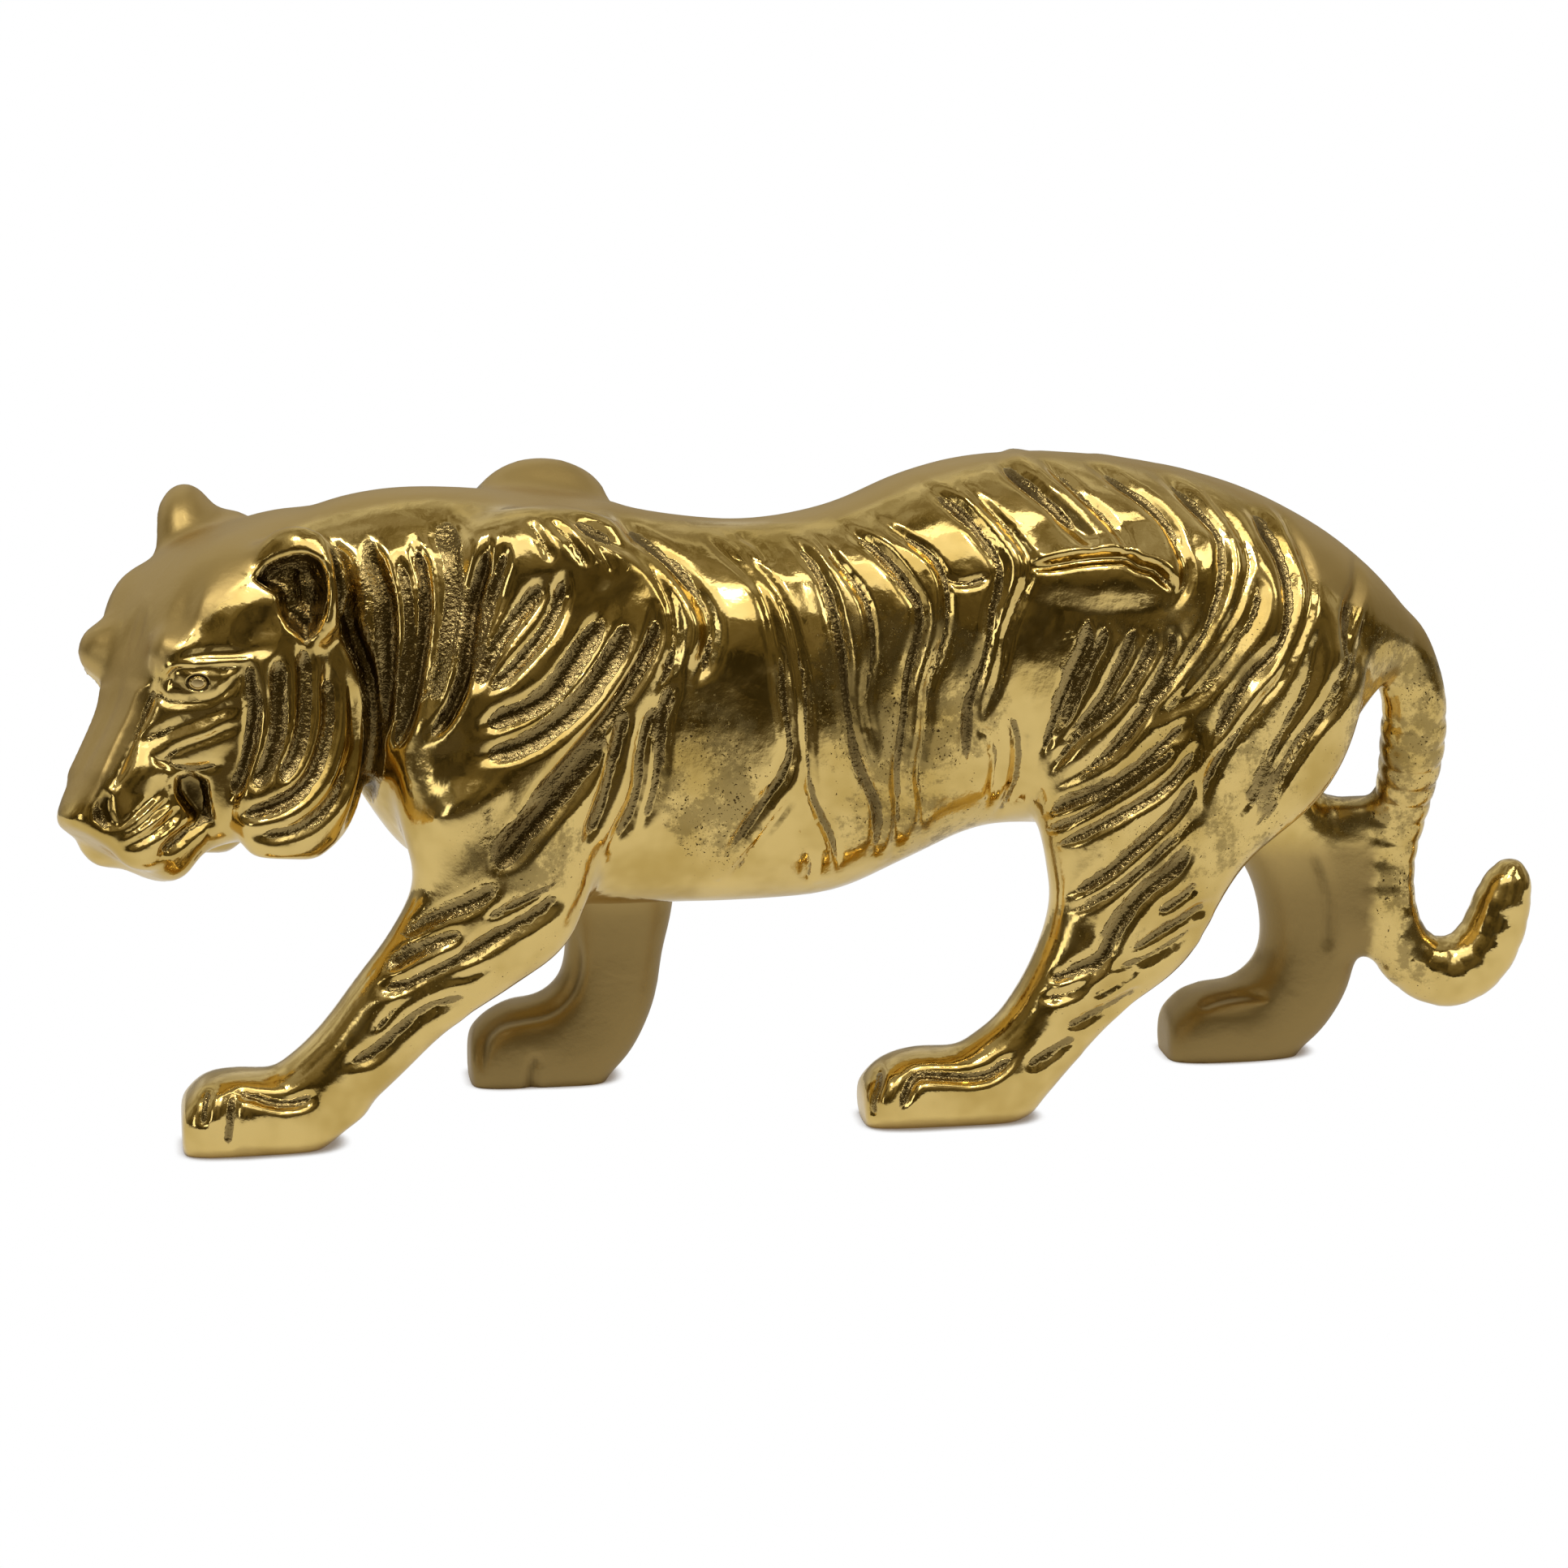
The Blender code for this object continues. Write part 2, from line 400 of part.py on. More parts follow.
# The lower legs on the seen side
NEAR_LEGS = (
    Cut(1.6, 0.9, 0.4, ((-66, 50), (-71, 46), (-77, 43.7), (-82.5, 41.3), (-88, 38))),
    Cut(1.5, 1.0, 0.6, ((-73.5, 38.8), (-79.5, 37), (-85.5, 34.3), (-91.5, 30.5))),
    Cut(1.7, 1.2, 0.6, (
        (-50, 49), (-54, 46), (-58, 43), (-64, 39.7), (-70, 36), (-76, 32.5), (-82, 29.5), (-88, 27),
        (-94.5, 25.5))),
    Cut(0.9, 0.8, 0.3, (
        (-66, 32.3), (-72, 29.5), (-78, 27.8), (-83, 25.3), (-88, 22.5), (-92, 18.5), (-95, 15))),
    Cut(1.6, 1.0, 0.6, (
        (-70.5, 24.3), (-76.5, 23.6), (-82, 22), (-87, 18.3), (-91, 14.5), (-95, 11.3), (-101, 8.5))),
    Cut(1.1, 0.8, 0.4, ((-50.5, 51), (-55.5, 48.3), (-60, 46), (-65, 43.7), (-69.5, 41.5))),
    Cut(1.2, 0.9, 0.4, ((-107, 2.5), (-111, 0.8), (-116, 0.6), (-121, 2), (-126, 3.2))),
    Cut(1.2, 1.0, 0.5, ((-125.5, 3), (-126, -1), (-126.3, -5), (-126.8, -10))),
    Cut(1.0, 0.7, 0.3, ((-131, 4), (-132, 0), (-132.5, -5))),
    Cut(1.1, 0.9, 0.4, ((65.8, 30.4), (62, 29.7), (57.2, 28.3))),
    Cut(1.0, 0.8, 0.4, ((69.3, 33), (67, 29), (64, 26.3), (60, 24.6), (55.5, 23.8))),
    Cut(1.0, 0.8, 0.4, ((90.7, 50.3), (88.5, 48), (85, 45.5), (81, 43))),
    Cut(1.2, 1.0, 0.5, ((94.5, 46), (90, 43.5), (86, 41), (82, 38.8), (78.3, 36.3), (74, 34))),
    Cut(1.2, 1.0, 0.5, ((91.3, 41), (88, 38.5), (84, 36), (80, 33.7), (75, 31.6), (70, 30))),
    Cut(1.0, 0.8, 0.4, ((78.3, 31), (75, 29), (70.5, 26.2), (66, 24))),
    Cut(1.1, 0.9, 0.5, ((78.5, 26.5), (74.5, 24.3), (70, 22), (65, 19.4), (60, 16.7))),
    Cut(1.3, 0.8, 0.4, ((64.5, 15.7), (60.3, 13.5), (56, 11), (52, 8))),
    Cut(1.2, 1.1, 0.5, (
        (50, 11.5), (47, 9.3), (44, 7.2), (40, 6.4), (33.5, 6.7), (28.5, 7), (26, 5), (24.5, 1),
        (23, -3))),
    Cut(1.1, 0.7, 0.3, ((19.3, 9), (18.7, 5), (17.7, 0.5), (18, -3))),
)
# The near cheek, eye and muzzle, and their mirror image on the other side
FACE = (
    Cut(1.5, 1.0, 0.3, (
        (-121.7, 100.4), (-121.7, 94.9), (-120.8, 90.1), (-121.4, 84), (-122.7, 77.9), (-124.5, 72.5),
        (-126.3, 68.2)), 4),
    Cut(1.7, 1.2, 0.4, (
        (-115.4, 100.4), (-115.4, 96.1), (-115.4, 90.7), (-115.4, 85.2), (-116.9, 79.2), (-119.3, 74.3),
        (-121.7, 70.1)), 4),
    Cut(1.6, 1.2, 0.4, (
        (-109.9, 103.4), (-109.6, 97.3), (-109.6, 91.9), (-109.9, 85.8), (-111.1, 80.4), (-113, 76.1),
        (-115.4, 71.9)), 4),
    Cut(1.6, 1.2, 0.4, (
        (-105.1, 99.8), (-104.5, 93.7), (-104.2, 87.6), (-105.1, 81.6), (-107.2, 75.5), (-110.5, 70.7),
        (-115.4, 67.6), (-120.8, 65.8), (-125.1, 64.9)), 4),
    Cut(1.4, 1.0, 0.3, (
        (-99.9, 98.5), (-99, 92.5), (-98.8, 85.8), (-99.3, 79.8), (-101.1, 73.7), (-103.8, 68.2),
        (-107.8, 64), (-112.4, 61.6), (-118.4, 60.7), (-123.3, 61)), 4),
    Cut(1.0, 1.5, 0.9, (
        (-138.5, 98.2), (-136.6, 99.2), (-133, 100.6), (-128.1, 101.7), (-123.3, 101.9), (-119, 102.6),
        (-115.4, 103.6))),
    Cut(0.7, 0.9, -0.3, (
        (-142.2, 94), (-139.8, 96.2), (-136.6, 97.2), (-133, 97.5), (-128.1, 97.6), (-122.5, 98.4))),
    Cut(0.8, 1.0, -0.3, (
        (-142.3, 92.8), (-139.8, 91), (-135.4, 90), (-130.5, 90.2), (-126.5, 91.8), (-124, 94.5), (-122.4, 98.2))),
    Cut(0.9, 0.7, 0.3, (
        (-148.1, 79.6), (-143.5, 82.4), (-138.5, 85.4), (-133.5, 87.6), (-128.5, 88.6), (-124.2, 89.2))),
    Cut(1.0, 1.1, 0.7, (
        (-141.5, 78.3), (-136.6, 81), (-131.7, 82.9), (-127.5, 84.3), (-123.6, 85.5))),
    Cut(0.9, 0.7, 0.3, ((-140.6, 77.8), (-137.8, 75.8), (-134.2, 74.6), (-128.6, 73.6))),
    Cut(1.1, 1.1, -0.8, (
        (-142.2, 93.5), (-144.1, 90), (-145.8, 84.6), (-148.6, 80), (-151.4, 73), (-153.8, 68.5))),
    Cut(0.8, 0.8, 0.3, ((-142.4, 69.8), (-144.5, 67.9), (-147.5, 65.2), (-150.8, 62.5))),
    Cut(0.8, 0.8, 0.3, ((-139.9, 67.9), (-143, 65.5), (-146, 63.1), (-149.3, 60.4))),
    Cut(0.8, 0.9, 0.3, ((-137.2, 66.7), (-140.2, 63.4), (-144.5, 60.4), (-149.6, 57.9))),
    Cut(1.0, 1.4, -0.4, ((-131.1, 64), (-134.8, 63.2), (-138.4, 60.5), (-142.7, 57.2), (-147.5, 54.8))),
    Cut(0.9, 0.8, 0.4, ((-131.1, 60.8), (-134.2, 58.3), (-137.8, 56), (-141.4, 53.8))),
)
FACE_SPOTS = (
    Spot((-132.8, 94.1), (7, 3.6), 8, 1.0),
    Spot((-133.1, 94.3), (1.9, 1.8), 0, 0.7),
    Spot((-120.5, 106.8), (4.5, 3.5), 40, -1.6),
)
# The corner of the mouth and the nostril
FACE_HOLLOWS = (
    Hollow(1.8, 2.6, (
        (-137.8, 73.4), (-134.8, 74.3), (-131.7, 72.5), (-131.1, 67.6), (-130.2, 63.6), (-133, 63.6),
        (-136, 67), (-137.8, 70.1))),
    Hollow(1.2, 1.6, (
        (-154.8, 70.4), (-153, 69.5), (-152.7, 65.8), (-151.7, 62.8), (-154.2, 61.9), (-156.9, 64),
        (-157.2, 66.4))),
)
# The near ear: the hollow inside its rim
EAR_HOLLOW = (
    Hollow(3.4, 2.0, (
        (-120.2, 118.5), (-118.4, 121), (-115.4, 122.5), (-112.4, 123.4), (-109.3, 123.5), (-106.3, 121.9),
        (-104.8, 119.2), (-104.4, 114.9), (-105.4, 110.1), (-106.9, 106.4), (-109, 104), (-110.8, 105.8),
        (-113, 107.6), (-114.8, 110.7), (-115.4, 114.9), (-117.8, 116.7))),
    Hollow(1.6, 2.0, (
        (-113.4, 121.2), (-109.6, 121.2), (-107, 118), (-107, 112), (-109, 108.5), (-112, 112), (-113, 116.5))),
)
# The far legs: their outer sides in side view, then their inner sides on the sheet
FAR_OUTSIDES = (
    Cut(1.5, 1.1, 0.5, ((-30, 118), (-34, 104), (-36, 90), (-36, 76), (-36, 62), (-35, 50), (-34, 38))),
    Cut(1.5, 1.1, 0.5, (
        (-40, 112), (-43, 98), (-44, 84), (-43, 70), (-41.5, 56), (-40, 44), (-40, 33))),
    Cut(1.5, 1.1, 0.5, (
        (-50, 110), (-52, 96), (-51, 82), (-49, 68), (-47, 54), (-45.5, 42), (-46, 30), (-49, 22))),
    Cut(1.3, 1.0, 0.5, ((-59, 108), (-60, 94), (-58, 80), (-55, 66), (-52.5, 56))),
    Cut(1.3, 1.0, 0.4, ((-66, 15), (-61, 10), (-60, 4), (-61, 0))),
    Cut(1.5, 1.1, 0.5, (
        (106, 112), (108, 98), (109, 84), (112, 72), (116, 62), (120, 52), (122, 42), (122, 32))),
    Cut(1.5, 1.1, 0.5, (
        (95, 110), (97, 96), (99, 82), (103, 70), (108, 60), (113, 50), (116, 41), (117.5, 32))),
    Cut(1.5, 1.1, 0.5, ((84, 106), (86, 92), (89, 80), (94, 69), (100, 60), (106, 51))),
    Cut(1.5, 1.1, 0.5, (
        (115, 102), (117, 88), (119, 76), (123, 66), (127, 56), (128, 44), (127.5, 32), (124, 22))),
    Cut(1.3, 1.0, 0.4, ((98, 15), (101, 9), (102, 4), (101, 0))),
)
FAR_INSIDES = (
    Cut(1.2, 0.9, -0.3, (
        (-49, 40), (-48.5, 34), (-49, 29), (-51, 24.5), (-55, 21.3), (-61, 20), (-66, 18.7),
        (-69.3, 15.5), (-70, 11), (-69.5, 6))),
    Cut(1.0, 1.0, 0.0, ((-57, 11), (-58.3, 8.5), (-58.8, 5.5), (-58.8, 2.5))),
    Cut(1.3, 0.8, 0.0, ((116, 58), (118.5, 53), (120, 47), (120, 40), (119.7, 34))),
    Cut(1.0, 0.8, 0.0, ((90.5, 22), (95, 24), (101, 25), (107, 24))),
)
# Grooves round the tail, spaced evenly along its middle line
RING_PITCH = 5.6
RING_DEPTH = 0.8


def spline(rows, steps):
    """Catmull-Rom through the rows, with the given number of steps from one row to the next."""
    v = np.asarray(rows, float)
    padded = np.vstack([2 * v[0] - v[1], v, 2 * v[-1] - v[-2]])
    out = []
    for i in range(len(v) - 1):
        a, b, c, d = padded[i:i + 4]
        for t in np.arange(steps) / steps:
            out.append(0.5 * (2 * b + (c - a) * t + (2 * a - 5 * b + 4 * c - d) * t ** 2
                              + (3 * b - a - 3 * c + d) * t ** 3))
    out.append(v[-1])
    return np.array(out)


def skin(bm, rings):
    """Closes the rings of points into one solid with flat ends."""
    loops = [[bm.verts.new(p) for p in ring] for ring in rings]
    for a, b in zip(loops, loops[1:]):
        for i in range(len(a)):
            j = (i + 1) % len(a)
            bm.faces.new((a[i], a[j], b[j], b[i]))
    bm.faces.new(loops[0])
    bm.faces.new(loops[-1][::-1])


def loft(bm, rungs, matrix=Matrix.Identity(4), deep=1.0, around=32):
    """Lofts one form through its rungs, with deep times their depth."""
    angles = np.arange(around) * 2 * math.pi / around
    c, s = np.cos(angles), np.sin(angles)
    rings = []
    rows = [(*r.front, *r.back, r.y, r.depth, r.square) for r in rungs]
    for ax, az, bx, bz, y, depth, square in spline(rows, 4):
        up = np.sign(c) * np.abs(c) ** (2 / square)
        side = np.sign(s) * np.abs(s) ** (2 / square)
        x = (ax + bx) / 2 + (ax - bx) / 2 * up
        z = (az + bz) / 2 + (az - bz) / 2 * up
        rings.append([matrix @ Vector(p) for p in zip(x, y + deep * depth * side, z)])
    skin(bm, rings)


def tube(bm, rows, around=20):
    """Lofts the tail along rows of x, y, z and share of the radius."""
    line = spline(rows, 6)
    tangent = np.gradient(line[:, :3], axis=0)
    tangent /= np.linalg.norm(tangent, axis=1)[:, None]
    side = np.cross(tangent, np.cross([0.0, 1.0, 0.0], tangent))
    side /= np.linalg.norm(side, axis=1)[:, None]
    other = np.cross(tangent, side)
    angles = np.arange(around) * 2 * math.pi / around
    rings = []
    for p, a, b in zip(line, side, other):
        radius = p[3] * TAIL_RADIUS
        rings.append([Vector(p[:3] + radius * (math.cos(t) * a + math.sin(t) * b)) for t in angles])
    skin(bm, rings)


def ball_matrix(shape, flip=1):
    """From a unit sphere to the ellipsoid, or to its mirror image across XZ where flip is -1."""
    x, y, z = shape.centre
    a, b, c = (math.radians(degrees) for degrees in shape.turn)
    turn = Euler((a * flip, b, c * flip)).to_matrix().to_4x4()
    return Matrix.Translation((x, y * flip, z)) @ turn @ Matrix.Diagonal((*shape.radii, 1))


def ball(bm, shape, matrix=Matrix.Identity(4), flip=1):
    place = matrix @ ball_matrix(shape, flip)
    bmesh.ops.create_uvsphere(bm, u_segments=28, v_segments=18, radius=1.0, matrix=place)


def head_matrix():
    """From the head's own axes to the figure's."""
    yaw = math.radians(HEAD_TURN)
    forward = Vector((-math.cos(yaw), -math.sin(yaw), 0))
    side = Vector((0, 0, 1)).cross(forward)
    axes = Matrix((forward, side, (0, 0, 1))).transposed().to_4x4()
    return Matrix.Translation(HEAD_PIVOT) @ axes @ Matrix.Rotation(math.radians(HEAD_TILT), 4, "X")


def add_head(bm):
    """Lofts the head, and adds its ruff, brows, lips and ears on both sides."""
    place = head_matrix()
    loft(bm, HEAD, place)
    for flip in (1, -1):
        loft(bm, RUFF, place @ Matrix.Translation((0, RUFF_SIDE * flip, 0)))
        ball(bm, LIP, place, flip)
    for shape in (NEAR_BROW, FAR_BROW, NEAR_TEMPLE, FAR_TEMPLE, NEAR_EAR, FAR_EAR, FAR_EAR_ROOT):
        ball(bm, shape, place)


def rough_figure():
    """All forms in one mesh, before they are fused."""
    bm = bmesh.new()
    loft(bm, TORSO, deep=BODY_HALF_WIDTH)
    loft(bm, TAIL_WEB)
    for rungs in (NEAR_FRONT_LEG, NEAR_FRONT_PAW, NEAR_HIND_LEG, NEAR_HIND_PAW):
        loft(bm, rungs, Matrix.Translation((0, -LEG_SPREAD, 0)))
    for rungs in (FAR_FRONT_LEG, FAR_FRONT_PAW, FAR_HIND_LEG, FAR_HIND_PAW):
        loft(bm, rungs, Matrix.Translation((0, LEG_SPREAD, 0)))
    tube(bm, TAIL)
    for shape in MUSCLES:
        ball(bm, shape)
    add_head(bm)
    bmesh.ops.recalc_face_normals(bm, faces=bm.faces)
    mesh = bpy.data.meshes.new("tiger")
    bm.to_mesh(mesh)
    bm.free()
    return mesh


def bake(obj):
    """Applies the object's modifiers."""
    bpy.context.view_layer.update()
    graph = bpy.context.evaluated_depsgraph_get()
    mesh = bpy.data.meshes.new_from_object(obj.evaluated_get(graph))
    old = obj.data
    obj.modifiers.clear()
    obj.data = mesh
    bpy.data.meshes.remove(old)


def fuse(obj):
    """Fuses what overlaps into one closed skin."""
    remesh = obj.modifiers.new("fuse", "REMESH")
    remesh.mode = "VOXEL"
    remesh.voxel_size = VOXEL
    bake(obj)


class Surface:
    """The points of a mesh, for smoothing and carving."""

    def __init__(self, mesh):
        self.mesh = mesh
        points = np.empty(len(mesh.vertices) * 3)
        mesh.vertices.foreach_get("co", points)
        self.points = points.reshape(-1, 3)
        edges = np.empty(len(mesh.edges) * 2, np.int64)
        mesh.edges.foreach_get("vertices", edges)
        self.edges = edges.reshape(-1, 2)

    def pull(self):
        """From each point to the mean of its neighbours."""
        a, b = self.edges.T
        n = len(self.points)
        count = np.bincount(a, minlength=n) + np.bincount(b, minlength=n)
        mean = np.empty_like(self.points)
        for k in range(3):
            column = self.points[:, k]
            mean[:, k] = (np.bincount(a, column[b], n) + np.bincount(b, column[a], n)) / count
        return mean - self.points

    def normals(self):
        self.write()
        normals = np.empty(len(self.points) * 3)
        self.mesh.vertex_normals.foreach_get("vector", normals)
        return normals.reshape(-1, 3)

    def smooth(self, passes):
        for _ in range(passes):
            self.points += 0.5 * self.pull()

    def fill(self, passes, weight):
        """Fills the creases where forms meet, and leaves all that swells."""
        for k in range(passes):
            if k % 5 == 0:
                normal = self.normals()
            out = np.clip(np.sum(self.pull() * normal, axis=1), 0, None) * weight
            self.points += 0.9 * out[:, None] * normal

    def write(self):
        self.mesh.vertices.foreach_set("co", self.points.ravel())
        self.mesh.update()


def ramp(value, low, high):
    """Rises smoothly from 0 at low to 1 at high."""
    t = np.clip((value - low) / (high - low), 0, 1)
    return t * t * (3 - 2 * t)


def eye_axes():
    """Where the eye stands, and its forward, right and up directions."""
    turn, drop = math.radians(EYE_TURN), math.radians(EYE_DROP)
    forward = np.array([math.sin(turn) * math.cos(drop), math.cos(turn) * math.cos(drop), -math.sin(drop)])
    right = np.array([math.cos(turn), -math.sin(turn), 0.0])
    return np.array(EYE_TARGET) - forward * EYE_DISTANCE, forward, right, np.cross(right, forward)


def on_sheet(points, normals):
    """Where the points fall on the tracing sheet, and how far each faces the eye."""
    eye, forward, right, up = eye_axes()
    ray = points - eye
    scale = EYE_DISTANCE / (ray @ forward)
    sheet = np.stack([(ray @ right) * scale, (ray @ up) * scale + EYE_TARGET.z], axis=1)
    facing = -np.sum(ray * normals, axis=1) / np.linalg.norm(ray, axis=1)
    return sheet, ramp(facing, 0.02, 0.3)


def press(sheet, cuts):
    """How deep the cuts go, and how high their lips stand, at each place on the sheet."""
    groove = np.zeros(len(sheet))
    ridge = np.zeros(len(sheet))
    for cut in cuts:
        path = spline(cut.path, 5)
        width = cut.width * CUT_WIDENING
        reach = 8 * width
        inside = np.all((sheet > path.min(0) - reach) & (sheet < path.max(0) + reach), axis=1)
        near = np.flatnonzero(inside)
        if not len(near):
            continue
        q = sheet[near][:, None]
        start, span = path[None, :-1], (path[1:] - path[:-1])[None]
        t = np.clip(np.sum((q - start) * span, axis=2) / np.sum(span ** 2, axis=2), 0, 1)
        away = q - start - t[..., None] * span
        far = np.sum(away ** 2, axis=2)
        best = np.argmin(far, axis=1)
        row = np.arange(len(near))
        s, d = span[0, best], away[row, best]
        sign = np.sign(s[:, 0] * d[:, 1] - s[:, 1] * d[:, 0])
        along = (best + t[row, best]) / (len(path) - 1)
        ends = ramp(np.minimum(along, 1 - along), -0.03, 0.16)
        u = np.sqrt(far[row, best]) / (width * (0.55 + 0.45 * ends))
        groove[near] = np.maximum(groove[near], cut.depth * ends * np.exp(-u ** cut.floor))
        side = u * sign * (1 if cut.lip >= 0 else -1)
        lip = abs(cut.lip) * ends * ramp(side, 0.5, 1.8) * np.exp(-np.clip(side - 1.8, 0, None) / LIP_FALL)
        ridge[near] = np.maximum(ridge[near], lip)
    return ridge - groove


def sink(sheet, hollows):
    """Depth of the hollows at each place on the sheet, below zero."""
    height = np.zeros(len(sheet))
    for hollow in hollows:
        a = np.array(hollow.outline, float)
        b = np.roll(a, -1, axis=0)
        inside = np.all((sheet > a.min(0) - hollow.wall) & (sheet < a.max(0) + hollow.wall), axis=1)
        near = np.flatnonzero(inside)
        if not len(near):
            continue
        q = sheet[near][:, None]
        span = (b - a)[None]
        t = np.clip(np.sum((q - a) * span, axis=2) / np.sum(span ** 2, axis=2), 0, 1)
        away = np.sqrt(np.min(np.sum((q - a - t[..., None] * span) ** 2, axis=2), axis=1))
        crossing = (a[:, 1] > q[..., 1]) != (b[:, 1] > q[..., 1])
        rise = np.where(b[:, 1] == a[:, 1], 1, b[:, 1] - a[:, 1])
        left = q[..., 0] < (b[:, 0] - a[:, 0]) * (q[..., 1] - a[:, 1]) / rise + a[:, 0]
        away *= np.where(np.sum(crossing & left, axis=1) % 2 == 1, 1, -1)
        height[near] -= hollow.depth * ramp(away, -hollow.wall / 2, hollow.wall / 2)
    return height


def dimple(sheet, spots):
    """Height added by the round spots."""
    height = np.zeros(len(sheet))
    for spot in spots:
        c, s = math.cos(math.radians(spot.turn)), math.sin(math.radians(spot.turn))
        d = (sheet - spot.centre) @ np.array([[c, -s], [s, c]]) / spot.radii
        height += spot.height * np.clip(1 - np.sum(d ** 2, axis=1), 0, None) ** 1.5
    return height


def head_share(points):
    """1 on the head and ruff, 0 from the neck back, and each point in the head's own axes."""
    inverse = np.array(head_matrix().inverted())
    own = points @ inverse[:3, :3].T + inverse[:3, 3]
    return ramp(own[:, 0] - 0.25 * own[:, 2], -14, -8), own


def carving(points, normals):
    """How far each point is moved along its normal by the folds, the face and the tail's rings."""
    height = np.zeros(len(points))
    head, own = head_share(points)
    body_cuts = FLANK + HAUNCH

    sheet, facing = on_sheet(points, normals)
    seen = facing * np.where(head > 0.5, ramp(own[:, 1], -1, 3), 1 - ramp(points[:, 1], 5, 9))
    height += seen * (press(sheet, body_cuts + NEAR_LEGS + FACE) + dimple(sheet, FACE_SPOTS))
    height += seen * sink(sheet, FACE_HOLLOWS + EAR_HOLLOW)
    inner = facing * ramp(points[:, 1], 8, 11) * (1 - ramp(points[:, 2], 50, 58))
    height += inner * press(sheet, FAR_INSIDES)

    flip = np.array([1.0, -1.0, 1.0])
    sheet, facing = on_sheet(points * flip, normals * flip)
    hidden = facing * (1 - head) * ramp(points[:, 1], 5, 9) * ramp(points[:, 2], 56, 72)
    height += hidden * press(sheet, body_cuts)

    matrix = np.array(head_matrix())
    turned = normals @ np.linalg.inv(matrix[:3, :3]).T * flip @ matrix[:3, :3].T
    sheet, facing = on_sheet((own * flip) @ matrix[:3, :3].T + matrix[:3, 3], turned)
    hidden = facing * head * ramp(-own[:, 1], -1, 3)
    height += hidden * (press(sheet, FACE) + dimple(sheet, FACE_SPOTS) + sink(sheet, FACE_HOLLOWS))

    outer = ramp(normals[:, 1], 0.1, 0.45) * ramp(points[:, 1], 12, 18) * (1 - ramp(points[:, 0], 128, 132))
    height += outer * press(points[:, (0, 2)], FAR_OUTSIDES)
    return height * CARVING + rings(points) - far_cup(points)


def far_cup(points):
    """How deep each point lies in the hollow of the far ear."""
    inverse = np.array((head_matrix() @ ball_matrix(FAR_EAR)).inverted())
    q = points @ inverse[:3, :3].T + inverse[:3, 3]
    hollow = np.clip(1 - (q[:, 1] ** 2 + q[:, 2] ** 2) / 0.45, 0, None) ** 0.7
    return EAR_CUP * hollow * ramp(q[:, 0], -0.3, 0.4) * (1 - ramp(q[:, 0], 1.6, 2.0))


def rings(points):
    """The grooves round the tail, spaced along its middle line."""
    line = spline(TAIL, 8)
    along = np.concatenate([[0], np.cumsum(np.linalg.norm(np.diff(line[:, :3], axis=0), axis=1))])
    near = np.flatnonzero((points[:, 0] > 132) & (points[:, 2] < 96))
    away = np.linalg.norm(points[near][:, None] - line[None, :, :3], axis=2)
    best = np.argmin(away, axis=1)
    place = along[best]
    reach = away[np.arange(len(near)), best] / (line[best, 3] * TAIL_RADIUS)
    inside = (1 - ramp(reach, 1.15, 1.35)) * ramp(place, 22, 26) * (0.55 + 0.45 * ramp(place, 60, 75))
    phase = np.abs((place / RING_PITCH) % 1 - 0.5) * 2
    height = np.zeros(len(points))
    height[near] = -RING_DEPTH * inside * np.exp(-((1 - phase) / 0.34) ** 2)
    return height


def cut_soles(mesh):
    """Cuts the paws flat on the ground."""
    bm = bmesh.new()
    bm.from_mesh(mesh)
    cut = bmesh.ops.bisect_plane(bm, geom=bm.verts[:] + bm.edges[:] + bm.faces[:], plane_co=(0, 0, 0),
                                 plane_no=(0, 0, 1), clear_inner=True)
    rims = [e for e in cut["geom_cut"] if isinstance(e, bmesh.types.BMEdge)]
    bmesh.ops.triangle_fill(bm, use_beauty=True, edges=rims, normal=(0, 0, -1))
    bmesh.ops.recalc_face_normals(bm, faces=bm.faces)
    bm.to_mesh(mesh)
    bm.free()


def thin_out(obj):
    """Brings the mesh down to its triangle count, with more of them left on the head."""
    plain = obj.vertex_groups.new(name="plain")
    share, _ = head_share(Surface(obj.data).points)
    for index, value in enumerate(share):
        plain.add([index], 1 - 0.8 * value, "REPLACE")
    count = sum(len(p.vertices) - 2 for p in obj.data.polygons)
    collapse = obj.modifiers.new("thin_out", "DECIMATE")
    collapse.ratio = TRIANGLES / count
    collapse.use_collapse_triangulate = True
    collapse.vertex_group = "plain"
    collapse.vertex_group_factor = FACE_KEPT
    bake(obj)
    obj.vertex_groups.clear()


def settle(mesh):
    """Scales to real size, with the origin under the middle of the box."""
    points = np.empty(len(mesh.vertices) * 3)
    mesh.vertices.foreach_get("co", points)
    points = points.reshape(-1, 3)
    low, high = points.min(0), points.max(0)
    points -= [(low[0] + high[0]) / 2, (low[1] + high[1]) / 2, low[2]]
    points *= np.array([LENGTH, WIDTH, HEIGHT]) / (high - low)
    mesh.vertices.foreach_set("co", points.ravel())
    mesh.update()


def brass():
    material = bpy.data.materials.new("polished_brass")
    material.use_nodes = True
    shader = material.node_tree.nodes["Principled BSDF"]
    shader.inputs["Base Color"].default_value = BRASS
    shader.inputs["Metallic"].default_value = 1.0
    shader.inputs["Roughness"].default_value = 0.25
    return material


